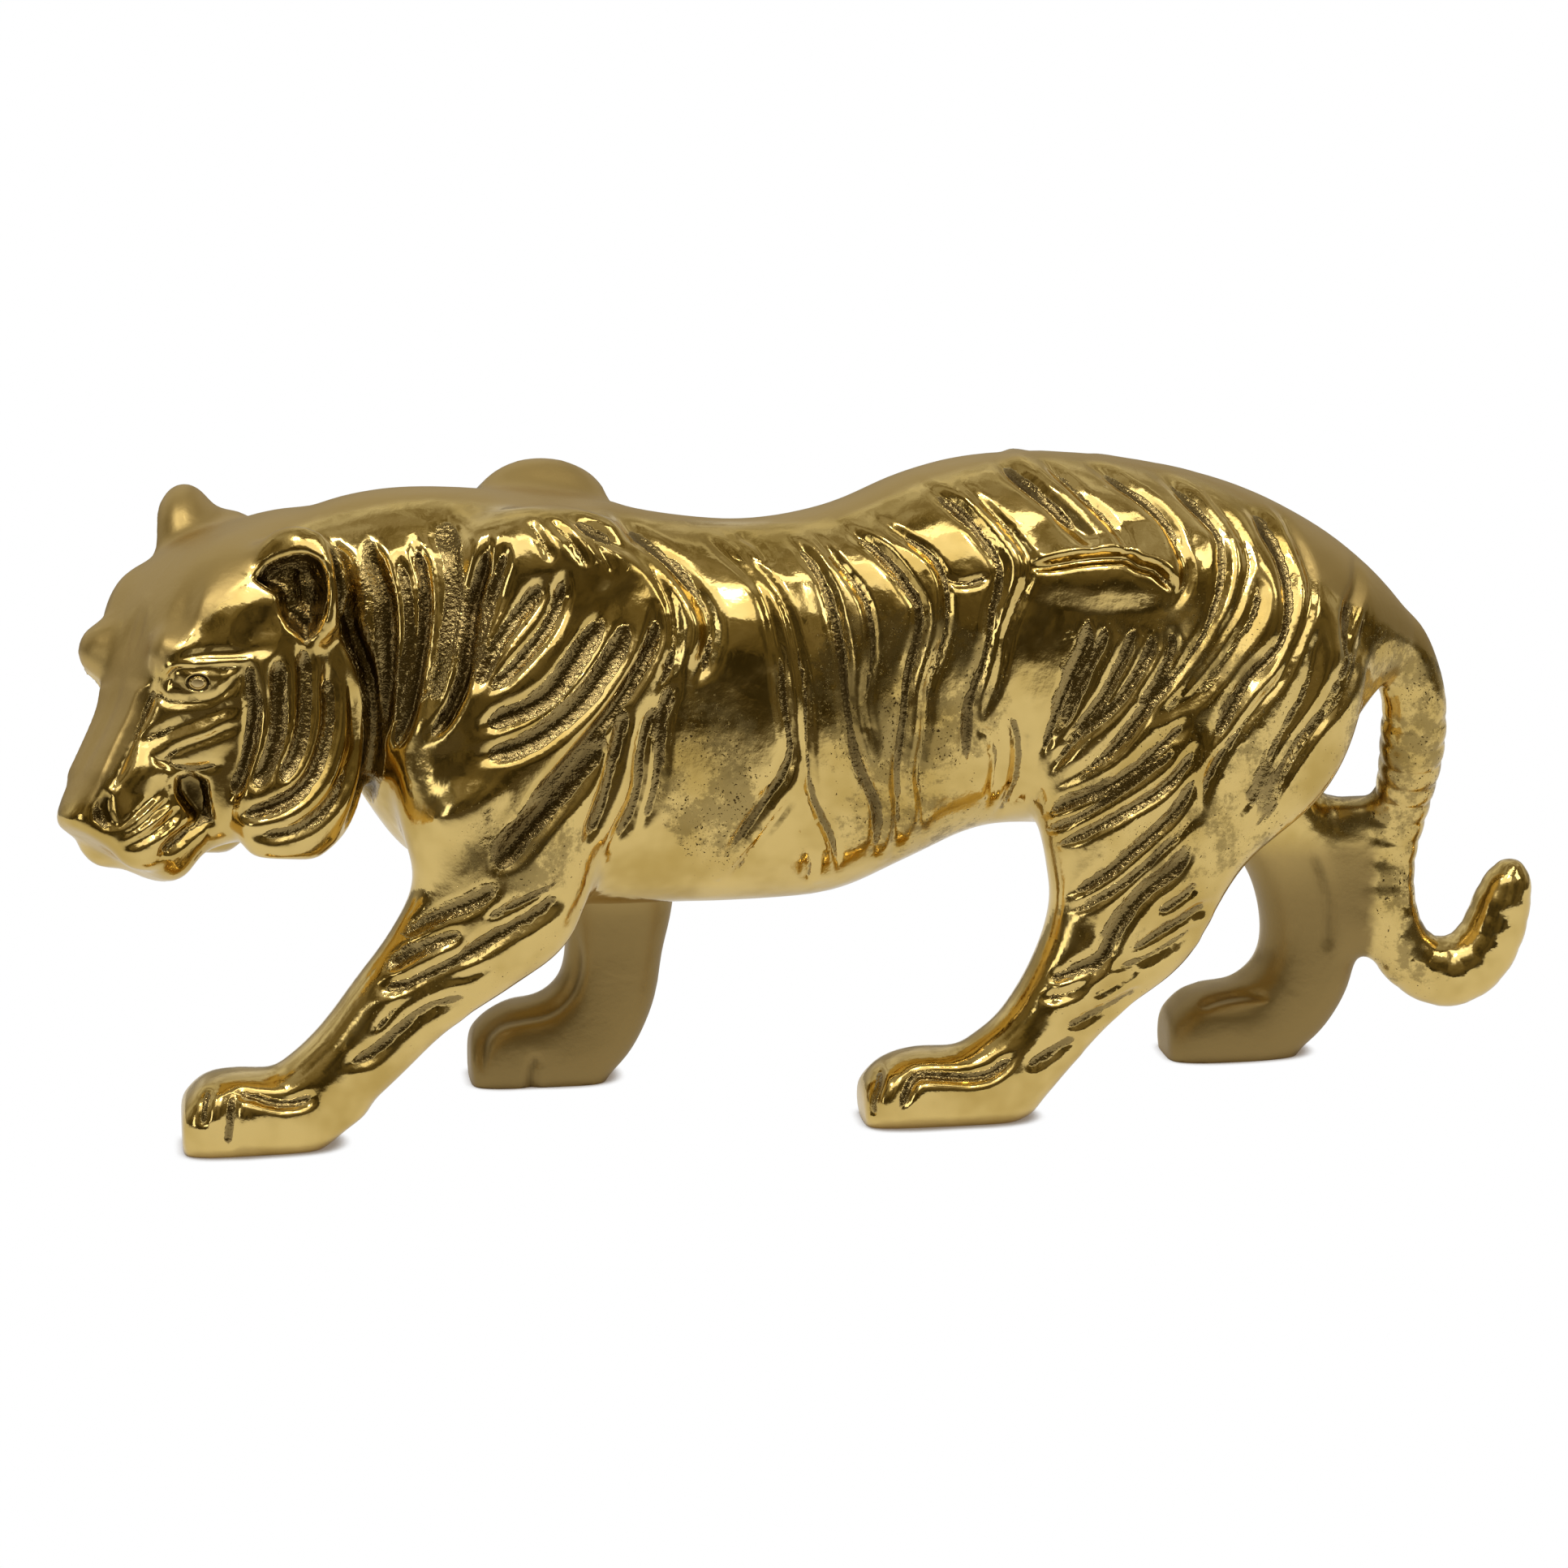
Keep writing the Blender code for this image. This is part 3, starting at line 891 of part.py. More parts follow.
def build():
    for old in list(bpy.data.objects):
        bpy.data.objects.remove(old)
    collection = bpy.data.collections.new(NAME)
    bpy.context.scene.collection.children.link(collection)
    tiger = bpy.data.objects.new("tiger", rough_figure())
    collection.objects.link(tiger)

    fuse(tiger)
    surface = Surface(tiger.data)
    surface.smooth(2)
    surface.fill(36, 1 - 0.75 * head_share(surface.points)[0])
    surface.smooth(4)
    surface.write()
    fuse(tiger)
    surface = Surface(tiger.data)
    surface.smooth(4)
    normals = surface.normals()
    surface.points += carving(surface.points, normals)[:, None] * normals
    surface.write()
    thin_out(tiger)
    cut_soles(tiger.data)
    settle(tiger.data)
    tiger.data.name = "tiger"
    tiger.data.materials.append(brass())


build()
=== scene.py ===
"""A walking tiger figurine in polished cast brass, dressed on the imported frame.

The forms are drawn in millimetres with the head toward -X, the seen flank toward
-Y and Z up, fused into one skin, and brought to the frame's place and size. The
fur folds are pressed in along strokes, as they are traced on a sheet held in front
of the flank. The same strokes tell the material where the brass is polished, where
it is satin and where the rough skin of the casting is left.
"""
from __future__ import annotations

import logging
import math
from collections.abc import Callable
from dataclasses import dataclass, field
from enum import Enum

import bmesh
import bpy
import numpy as np
from mathutils import Euler, Matrix, Vector
from mathutils.kdtree import KDTree

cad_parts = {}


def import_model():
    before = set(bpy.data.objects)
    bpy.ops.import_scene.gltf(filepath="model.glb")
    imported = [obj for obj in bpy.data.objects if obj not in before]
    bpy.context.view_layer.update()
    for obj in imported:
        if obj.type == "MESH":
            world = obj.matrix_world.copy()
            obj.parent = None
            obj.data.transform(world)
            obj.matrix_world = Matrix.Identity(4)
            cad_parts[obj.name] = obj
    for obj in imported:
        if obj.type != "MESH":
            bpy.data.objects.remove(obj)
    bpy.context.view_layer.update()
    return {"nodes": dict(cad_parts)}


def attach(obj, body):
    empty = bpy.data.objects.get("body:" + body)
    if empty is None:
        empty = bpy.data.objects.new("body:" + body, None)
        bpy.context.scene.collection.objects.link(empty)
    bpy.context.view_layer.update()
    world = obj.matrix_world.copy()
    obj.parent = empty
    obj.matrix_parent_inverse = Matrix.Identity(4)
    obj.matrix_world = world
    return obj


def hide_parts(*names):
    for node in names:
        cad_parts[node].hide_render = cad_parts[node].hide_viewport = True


log = logging.getLogger("tiger")

# Real size in metres, and the drawing's box in millimetres that it is scaled from
LENGTH, WIDTH, HEIGHT = 0.34, 0.0731, 0.1467
DRAWN_SIZE = (339.5, 73.35, 146.72)
DRAWN_MIDDLE = (6.17, -0.285, 0.0)

# Skin: voxel sizes in millimetres, the triangles that are kept, and how often it is relaxed
COARSE_VOXEL = 1.2
FINE_VOXEL = 0.72
TRIANGLES = 186000
CREASE_PASSES = 36
HEAD_CREASES_KEPT = 0.75

# Carving: how much deeper and wider the strokes are than they are drawn, how many of its widths
# a lip takes to fall away, and the share of the rings' depth
CARVING = 1.35
CUT_WIDENING = 1.1
LIP_FALL = 3.2
RING_SHARE = 0.5

# Sizes of the drawing, in millimetres
BODY_HALF_WIDTH = 31.0
LEG_SPREAD = 24.0
TAIL_RADIUS = 7.0

# The eye that the tracing sheet belongs to, in drawing millimetres and degrees
EYE_TARGET = Vector((0.0, 0.0, 72.0))
EYE_DISTANCE = 1100.0
EYE_TURN = 8.0
EYE_DROP = 12.0

# The picture: its width, its pixels for one millimetre, and the column of the eye's target
PICTURE_WIDTH = 1932
PICTURE_SCALE = 5.5
PICTURE_COLUMN = 978
SENSOR_WIDTH = 36

# Turns the far side's points and directions into the near side's
MIRROR = np.array([1.0, -1.0, 1.0])

# The head is turned and tilted about this point
HEAD_PIVOT = Vector((-120.0, -3.0, 100.0))
HEAD_TURN = 29.0
HEAD_TILT = 8.0


class Side(Enum):
    """The flank that the camera sees, and its mirror image."""

    NEAR = 1
    FAR = -1


@dataclass(frozen=True)
class Rung:
    """A section of a form, drawn as a line across its outline in side view."""

    front: tuple
    back: tuple
    y: float
    depth: float
    square: float = 2.2


@dataclass(frozen=True)
class Ball:
    """An ellipsoid, turned by degrees about X, Y and Z."""

    centre: tuple
    radii: tuple
    turn: tuple = (0, 0, 0)


@dataclass(frozen=True)
class Cut:
    """A groove along a path on the sheet, with a raised lip that falls away slowly.

    Drawn downward, a lip above zero is on the right. A higher floor is a flatter one.
    """

    width: float
    depth: float
    lip: float
    path: tuple
    floor: float = 2.0


@dataclass(frozen=True)
class Hollow:
    """A region of the sheet that is pushed in, with the width of the slope round it."""

    depth: float
    wall: float
    outline: tuple


@dataclass(frozen=True)
class Spot:
    """A round hollow on the sheet, or a swelling where its height is above zero."""

    centre: tuple
    radii: tuple
    turn: float
    height: float


# The body, with each depth as a share of its greatest half width
TORSO = (
    Rung((-116, 133), (-108, 94), -2, 0.58),
    Rung((-103, 138.5), (-99, 77), 0, 0.71),
    Rung((-90, 141), (-88, 61), 0, 0.81),
    Rung((-76, 141), (-76, 55), 0, 0.87),
    Rung((-60, 139.5), (-60, 48), 0, 0.92),
    Rung((-45, 137.5), (-45, 46.5), 0, 0.94),
    Rung((-28, 134), (-28, 46.5), 0, 0.92),
    Rung((-10, 132.5), (-12, 46.5), 0, 0.9),
    Rung((8, 135.5), (8, 48), 0, 0.89),
    Rung((24, 142), (25, 55), 0, 0.89),
    Rung((40, 145.7), (42, 62), 0, 0.92),
    Rung((60, 146), (62, 62), 0, 0.97),
    Rung((80, 143.5), (80, 62), 0, 1),
    Rung((100, 138), (96, 64), 0, 0.97),
    Rung((117, 129.5), (112, 68), 0, 0.85),
    Rung((129, 120.5), (121, 76), 0, 0.65),
    Rung((138, 111), (128, 86), 0, 0.42),
    Rung((143.5, 102.5), (134, 94), 0, 0.26),
)
# The legs and paws, with y from the line that their side's paws stand on
NEAR_FRONT_LEG = (
    Rung((-80, 126), (-50, 130), 11, 8),
    Rung((-89, 112), (-40, 118), 8.5, 13),
    Rung((-91, 98), (-36, 104), 6.5, 15.5),
    Rung((-92, 84), (-38, 84), 4.5, 15),
    Rung((-89.5, 70), (-45, 62), 3, 14),
    Rung((-87, 58), (-52.8, 43.5), 2, 12.5),
    Rung((-92, 47), (-64.5, 34.5), 1, 11.5),
    Rung((-100, 36.5), (-79, 25.5), 0, 10.5),
    Rung((-108, 26), (-90, 15.2), 0, 10),
    Rung((-115.5, 19), (-98, 8), 0, 10),
    Rung((-122, 15), (-106, 4), 0, 10),
)
NEAR_FRONT_PAW = (
    Rung((-100, 10), (-97, 7), 0, 6, 2.6),
    Rung((-105, 12), (-103, 3), 0, 9, 2.6),
    Rung((-110, 14), (-109, -1.5), 0, 10.5, 2.6),
    Rung((-117, 16), (-117, -2.5), 0, 11.5, 2.6),
    Rung((-125, 17), (-125, -2.5), 0, 12.3, 2.6),
    Rung((-133, 15.8), (-133, -2.5), 0, 12, 2.8),
    Rung((-138.3, 11), (-138.3, -2), 0, 9.5, 2.8),
)
NEAR_HIND_LEG = (
    Rung((68, 128), (102, 130), 9, 9),
    Rung((58, 112), (118.8, 116), 6.5, 13),
    Rung((52, 98), (125.4, 100), 5, 15),
    Rung((49.5, 84), (123, 84), 3.5, 15),
    Rung((50.5, 71), (115, 70), 2.5, 14),
    Rung((53, 59), (98, 55.5), 2, 13),
    Rung((54, 48), (85, 34.5), 1, 11.5),
    Rung((50, 35.5), (70, 23.3), 0, 10.5),
    Rung((43, 23.8), (60, 12.5), 0, 10),
    Rung((36, 18), (51, 2.5), 0, 10.5),
    Rung((29, 13), (42, -1), 0, 10.5),
)
NEAR_HIND_PAW = (
    Rung((52, 8), (51, 1), 0.5, 6, 2.4),
    Rung((45, 11.5), (45, -1.5), 0.5, 9.5, 2.4),
    Rung((36, 15), (36, -2.2), 1, 11, 2.4),
    Rung((25.5, 16), (25.5, -2.2), 1, 12, 2.4),
    Rung((17, 13.7), (17, -2), 1, 11.5, 2.4),
    Rung((11.7, 8.5), (12, -1.5), 1, 9, 2.6),
)
FAR_FRONT_LEG = (
    Rung((-72, 122), (-38, 126), -10, 9),
    Rung((-70, 106), (-30, 108), -7, 13),
    Rung((-64, 88), (-26, 86), -4, 13),
    Rung((-57, 66), (-24, 62), -3, 12.5, 2.6),
    Rung((-50.5, 45), (-25, 42), -2, 11.5, 3),
    Rung((-49.5, 33), (-27.5, 30), -1, 11, 3.2),
    Rung((-50.5, 24), (-29.5, 18), -0.5, 11, 3.2),
    Rung((-55, 19), (-35, 6), 0, 11.5, 3.2),
    Rung((-60, 16.5), (-44, -3), 0, 12, 3.2),
)
FAR_FRONT_PAW = (
    Rung((-42, 9), (-42, -4), 0, 10, 3),
    Rung((-50, 17), (-50, -4), 0, 11.5, 3),
    Rung((-60, 18), (-60, -4), 0, 12, 3),
    Rung((-67, 15.5), (-67, -4), 0, 11.5, 3),
    Rung((-72, 11), (-72, -3), 0, 9.5, 3),
)
FAR_HIND_LEG = (
    Rung((76, 126), (106, 130), -9, 9),
    Rung((70, 106), (120, 112), -7, 13),
    Rung((72, 90), (122, 92), -5, 13.5),
    Rung((84, 74), (121, 74), -3.5, 13),
    Rung((98, 58), (130, 55), -2.5, 12, 2.4),
    Rung((109.5, 44), (134, 42), -1.5, 11, 2.6),
    Rung((113.5, 31), (135, 29), -1, 10.5, 2.8),
    Rung((112.5, 22.5), (134.3, 17), -1, 10.5, 2.8),
    Rung((107, 17), (128, 5.5), -0.5, 11, 2.8),
    Rung((100, 15), (119, -2), -0.5, 11, 2.8),
)
FAR_HIND_PAW = (
    Rung((121, 6), (121, -3), -0.5, 8, 2.8),
    Rung((114, 15), (114, -4), -0.5, 11, 2.8),
    Rung((104, 16.5), (104, -4), -0.5, 12, 2.8),
    Rung((96, 15), (96, -4), -0.5, 11.5, 2.8),
    Rung((90.5, 10), (90.5, -3), -0.5, 9, 2.8),
)
TAIL_WEB = (
    Rung((127, 61), (141, 61), 18, 6),
    Rung((127, 52), (141, 52), 18, 7),
    Rung((129, 40), (141, 40), 18, 7),
    Rung((130, 30), (141, 30), 18, 7),
    Rung((132, 25), (141, 25), 18, 5),
)
# Each row is a point on the middle line of the tail, and the share of its usual radius there
TAIL = (
    (130, 0, 106, 1.07), (137, 0, 101.5, 1.07), (141, 0.5, 94, 1.05), (142.9, 1.5, 86, 1.08),
    (143.4, 4, 78, 1.12), (143.9, 8, 70.5, 1.06), (143.8, 12, 63.5, 1.0), (143.1, 15, 56, 0.96),
    (141.8, 16, 49, 0.95), (141.1, 16, 41.5, 0.98), (142, 16, 33.5, 1.02), (144.3, 16, 27, 1.06),
    (149, 16, 21.7, 1.11), (156.2, 16, 18.8, 1.17), (163, 16, 22, 1.16), (167, 16, 28.5, 1.1),
    (168.8, 16, 34.5, 1.03), (170.2, 16, 39.5, 0.91), (170.8, 16, 43.2, 0.7),
    (170.9, 16, 45.5, 0.45),
    (170.9, 16, 46.5, 0.14),
)
# The far and the near shoulder blade, and the point of the near shoulder
MUSCLES = (
    Ball((-55, 16, 131), (16.5, 10, 14)),
    Ball((-58, -15, 125), (22, 12, 14)),
    Ball((-74, -31, 77), (12, 6, 6), (0, -35, 0)),
)

# The head is drawn about its pivot, with X forward and Y to its left cheek
HEAD = (
    Rung((-30, 34), (-26, -6), 0, 18),
    Rung((-14, 36.5), (-16, -22), 0, 23, 2.4),
    Rung((0, 34.5), (-6, -31), 0, 26, 2.7),
    Rung((14, 30), (3, -34), 0, 26, 3.2),
    Rung((24.5, 20), (10, -34.5), 0, 21.5, 3.4),
    Rung((30.2, 9), (15.5, -35), 0, 17, 3.4),
    Rung((34, -1), (20, -36.5), 0, 13.5, 3.2),
    Rung((39.6, -9.5), (23, -40), 0, 11.8, 3.2),
    Rung((46, -18), (26.5, -41.8), 0, 10.3, 3.2),
    Rung((50.8, -25.2), (31, -39.6), 0, 7.6, 3.2),
)
RUFF = (
    Rung((9, 16), (-8, 14), 0, 5),
    Rung((13, 3), (-13, 2), 0, 7.5),
    Rung((16, -10), (-15, -11), 0, 8.5),
    Rung((18, -22), (-13.5, -24), 0, 8.5),
    Rung((18, -31), (-8, -34), 0, 8),
    Rung((15, -37), (0, -39.5), 0, 5.5),
)
RUFF_SIDE = 19.0
FAR_BROW = Ball((26, -13.5, 9), (8.5, 7.8, 7))
NEAR_BROW = Ball((23.3, 12.6, 8.5), (8.5, 7.4, 7))
FAR_TEMPLE = Ball((16, -15.5, 17), (13, 8, 9), (0, 40, 0))
NEAR_TEMPLE = Ball((13.6, 14.2, 16), (13, 8, 9), (0, 40, 0))
LIP = Ball((35, 7.5, -29), (8, 6, 9))
NEAR_EAR = Ball((1.3, 24.7, 20.5), (5, 12, 13.5), (0, 0, 42))
FAR_EAR = Ball((1, -21, 29.3), (7.5, 12.5, 14.5), (0, 0, -42))
FAR_EAR_ROOT = Ball((-8, -19, 26), (9, 9, 11))
EAR_CUP = 5.5

# The folds on the flank, traced on the sheet from the neck to the rump
FLANK = (
    Cut(1.8, 2.0, -0.9, (
        (-104.5, 127.3), (-101.3, 122.4), (-100, 116.4), (-99.5, 110.7), (-98.6, 105),
        (-96.4, 99.5),
        (-94.9, 93.7), (-94.3, 84.6), (-94.9, 75.5), (-97.3, 67), (-101, 60))),
    Cut(1.8, 1.3, 0.5, (
        (-95.5, 127), (-93.5, 121), (-91.5, 115), (-90.8, 109), (-90.8, 102), (-91, 95), (-92, 87),
        (-93.5, 79)), 3),
    Cut(1.4, 1.1, 0.4, (
        (-89, 124), (-87, 118), (-86, 111), (-86, 104), (-87, 97), (-88, 90), (-89.5, 84)), 3),
    Cut(1.5, 1.6, 0.5, (
        (-85.5, 127), (-83.5, 121), (-82.6, 114), (-82.8, 107), (-84, 99), (-85.5, 91), (-87.5, 85),
        (-89, 80)), 3),
    Cut(3, 1, 0.3, (
        (-79.5, 134), (-77.5, 127), (-76.5, 119), (-77, 110), (-79, 101), (-81, 93), (-84, 85)), 3),
    Cut(1.6, 1.8, 0.6, (
        (-68, 128), (-69.5, 121), (-71, 115), (-72, 109), (-72.8, 103), (-73.8, 97), (-76, 91),
        (-79, 86), (-83, 81)), 3),
    Cut(1.6, 1.1, 0.5, (
        (-64.5, 127), (-66, 120), (-68, 113), (-69.5, 107), (-70.5, 101), (-71.5, 95)), 3),
    Cut(1.6, 1.1, 0.5, (
        (-56, 118.5), (-59, 113.5), (-62.5, 109), (-66, 104), (-69, 98), (-72, 92)), 3),
    Cut(1.5, 1.1, 0.5, (
        (-51, 120), (-52.5, 114), (-54.5, 108.5), (-58, 103.5), (-61.5, 99.5), (-65, 96),
        (-69, 92)), 3),
    Cut(2.2, 1.3, 0.5, (
        (-43, 111), (-46, 104.5), (-50, 98.5), (-54, 93), (-59, 89.5), (-65, 87), (-71, 84)), 3),
    Cut(2.2, 1.4, 0.6, (
        (-37, 109), (-40, 102), (-44, 95.5), (-48, 90.5), (-53, 86), (-58, 82.5), (-64, 80),
        (-72, 77.5)), 3),
    Cut(1.5, 1.4, 0.5, (
        (-31, 114), (-31, 106), (-33.5, 100), (-37, 94), (-41, 88), (-45.5, 82.5), (-50.5, 76.5),
        (-56, 70.5), (-61, 65)), 3),
    Cut(2.5, 1.6, 0.5, (
        (-41, 84), (-45.5, 78), (-50, 72.5), (-55, 67), (-59.5, 62), (-63.5, 57), (-67, 52)), 3),
    Cut(1.5, 1.2, 0.4, ((-37, 90), (-39, 84), (-40.5, 77), (-42, 71), (-44, 65), (-47, 58)), 3),
    Cut(1.4, 1, 0.4, ((-30, 92), (-33, 85), (-34.5, 78), (-35, 71), (-37.5, 64), (-41.5, 58)), 3),
    Cut(1.4, 1, 0.4, ((-25, 98), (-28.5, 91), (-30, 84), (-30.5, 76), (-32, 68), (-35, 61)), 3),
    Cut(1.4, 1.2, 0.8, (
        (-53, 133), (-47, 130), (-41.5, 127), (-35.5, 123.5), (-31, 119), (-28, 113.5),
        (-26.7, 108),
        (-27, 102), (-29, 96), (-31.5, 91))),
    Cut(1.8, 1.5, -1.2, (
        (-41, 132), (-36, 128.5), (-31, 124.5), (-26, 120), (-22, 115), (-19.3, 110), (-18.6, 105),
        (-20, 99), (-22, 94))),
    Cut(0.9, 0.6, 0.3, ((-60, 131.5), (-57.5, 128.5), (-55.5, 125), (-54, 122))),
    Cut(0.9, 0.6, 0.3, ((-55, 131.5), (-51, 128), (-48, 124), (-46, 120.5))),
    Cut(0.9, 0.6, 0.3, ((-49, 130), (-45, 127), (-42, 123), (-40.5, 119))),
    Cut(1.4, 1.1, 0.6, (
        (-20, 127.5), (-16, 124.5), (-12, 121), (-8, 116.5), (-5.5, 111), (-4, 105), (-2.7, 99),
        (-2.2, 92), (-1.3, 86), (-0.5, 80), (-2, 75), (-6, 68.5), (-10.5, 62), (-14.5, 56.5),
        (-18.5, 51.5))),
    Cut(1, 1.1, -0.6, (
        (-17, 129), (-12, 125), (-8, 120.5), (-4, 115.5), (-1.3, 110), (0.4, 104), (1.6, 98),
        (2.6, 92),
        (2.7, 86), (3, 80), (3.3, 76), (4, 70.5), (6.3, 64.5), (8.5, 60), (9.5, 55), (9.5, 50))),
    Cut(0.9, 0.6, 0, ((-13, 128.3), (-9, 126), (-6.5, 123), (-5, 120.5))),
    Cut(1.4, 1.2, 0.8, (
        (-2, 127.8), (2, 124.2), (5.5, 119.8), (8, 114), (9.6, 108), (11, 101), (11.5, 95),
        (12.2, 89),
        (13.3, 82.5), (14.5, 76.5), (17, 71), (18.9, 66), (18.8, 60), (17.6, 54))),
    Cut(1, 1.1, -0.8, (
        (3, 129.3), (7, 125.3), (11, 120.3), (14.5, 116), (16.5, 112), (17.5, 107), (17.7, 101),
        (16.7, 95), (16.2, 91), (16.8, 86), (18, 81), (18.5, 75))),
    Cut(1.4, 1.2, 0.8, (
        (9.5, 131), (14, 127.5), (19, 124), (22.5, 120.5), (25.7, 116), (28, 112), (28.3, 107.5),
        (27.3, 103), (26, 98), (25.2, 93), (24.8, 87), (24.2, 82), (23.4, 76), (23.3, 70),
        (23.3, 64),
        (22.7, 59), (21.4, 54))),
    Cut(1, 1.1, -0.8, (
        (16.5, 132.8), (21, 129.8), (26, 126.7), (30.5, 123.5), (33.2, 119.5), (34.3, 115),
        (34.3, 109),
        (33.4, 104), (31.5, 98), (30, 93), (29.5, 87), (29, 82), (28, 77), (27.9, 73), (28.8, 68),
        (28.8, 64), (28.2, 58))),
    Cut(1.5, 1.2, 0.8, (
        (27.5, 140), (33, 136.3), (37, 133.3), (41, 129.3), (44, 125.3), (46.3, 121), (46, 116),
        (44.7, 111), (44, 105), (42.5, 99), (40.7, 94), (39.2, 89), (38.8, 83), (39, 78),
        (39.4, 73))),
    Cut(1, 1.1, -0.8, (
        (36, 140.5), (41, 136.5), (45.5, 132), (49.3, 127.8), (52, 123.8), (52.8, 120.5),
        (51.9, 116.5),
        (49.5, 111), (47.6, 105.5), (46.5, 100), (45, 94), (43, 89), (41.3, 85))),
    Cut(1, 0.9, 0.6, ((40, 85), (43.5, 83.5), (45.2, 79), (45, 74), (44.2, 69.5), (43, 65.5))),
    Cut(1.2, 1, -0.6, ((47.5, 89), (49.8, 84), (50.3, 79), (49.6, 73), (47.3, 68), (45, 64.5))),
    Cut(1, 0.8, -0.4, ((0, 70.5), (-2.3, 66.5), (-5, 63), (-8, 59), (-11, 55), (-14.5, 50))),
    Cut(1, 0.6, 0.3, ((1, 62.5), (2.8, 58.5), (3.6, 54), (3, 49.5))),
    Cut(1.5, 1.2, 0.9, (
        (45, 144.8), (50, 141.3), (54.5, 137.5), (58, 134.3), (61.8, 130.5), (65, 127),
        (67.3, 123.5))),
    Cut(1, 1.1, -0.9, (
        (54.5, 145), (60, 140.8), (64.3, 136.8), (68.7, 132.8), (72, 129), (74, 125), (74.2, 122))),
    Cut(1.1, 0.9, 0.5, (
        (64.5, 144.3), (70, 141.5), (74, 138.7), (78, 136), (81.5, 133), (84.2, 129.5), (86, 125),
        (87.7, 120), (87, 115), (84.5, 111))),
    Cut(1.3, 1.1, 0.7, (
        (79, 143), (84, 139.5), (88, 136.2), (92, 132.3), (95.2, 128), (96.2, 123.5), (96, 118.5),
        (94.8, 113), (92.7, 107), (89.5, 101.5), (86, 97), (82, 92.5), (78, 88), (75, 84),
        (70.5, 79),
        (64, 74.5), (58, 71))),
    Cut(1, 0.9, -0.6, (
        (90, 139.5), (94, 135), (98, 130.7), (100.8, 126), (102, 121), (101, 116.3), (99, 111),
        (96, 106), (93, 101), (89.3, 96), (86, 91.5), (82, 88), (77, 84.5))),
    Cut(1.6, 0.8, 0.4, (
        (103.5, 121), (104, 114.5), (102.5, 109), (99, 103.5), (95.5, 98.5), (91, 93.3), (86, 89.5),
        (80, 85.5))),
    Cut(1.6, 1.3, 0.8, (
        (100.5, 134.5), (104, 131.8), (107, 127.5), (109.5, 122.5), (111, 117), (111.3, 111),
        (110, 105), (107, 100.5), (103, 96.7), (100, 92.5), (97, 87), (94.5, 82), (92.5, 77))),
    Cut(1, 1, -0.7, (
        (106, 135), (109.5, 131), (113, 125.3), (115.5, 118.5), (115.5, 112), (113.7, 105.5),
        (111, 99.8), (108.5, 95), (105, 91), (101.5, 86.5), (98.3, 82), (95, 77.5), (92.5, 72),
        (91.5, 66), (90.8, 60))),
    Cut(1, 0.8, 0.4, ((109.5, 131), (112, 126.5), (114.3, 121), (116, 116))),
    Cut(1.4, 1.1, 0.6, (
        (125.5, 123), (126, 117), (124.7, 112), (124, 106), (124.3, 100.5), (122.6, 95.5),
        (120, 91),
        (117, 87), (113, 82), (109.3, 76), (106.3, 70), (103.5, 64.5), (99, 60.8))),
    Cut(1, 0.9, -0.6, (
        (128, 115), (128, 109), (127, 103), (125, 95.5), (122, 90), (117.5, 85), (113.3, 79),
        (109.7, 73), (107.5, 67), (104, 62.5), (98, 57.5))),
    Cut(1.6, 0.8, 0.4, (
        (118, 109), (117, 103), (116, 97.5), (113.7, 91), (110.5, 85), (107.3, 79), (105, 73),
        (102.5, 68.5), (98, 63.5))),
)
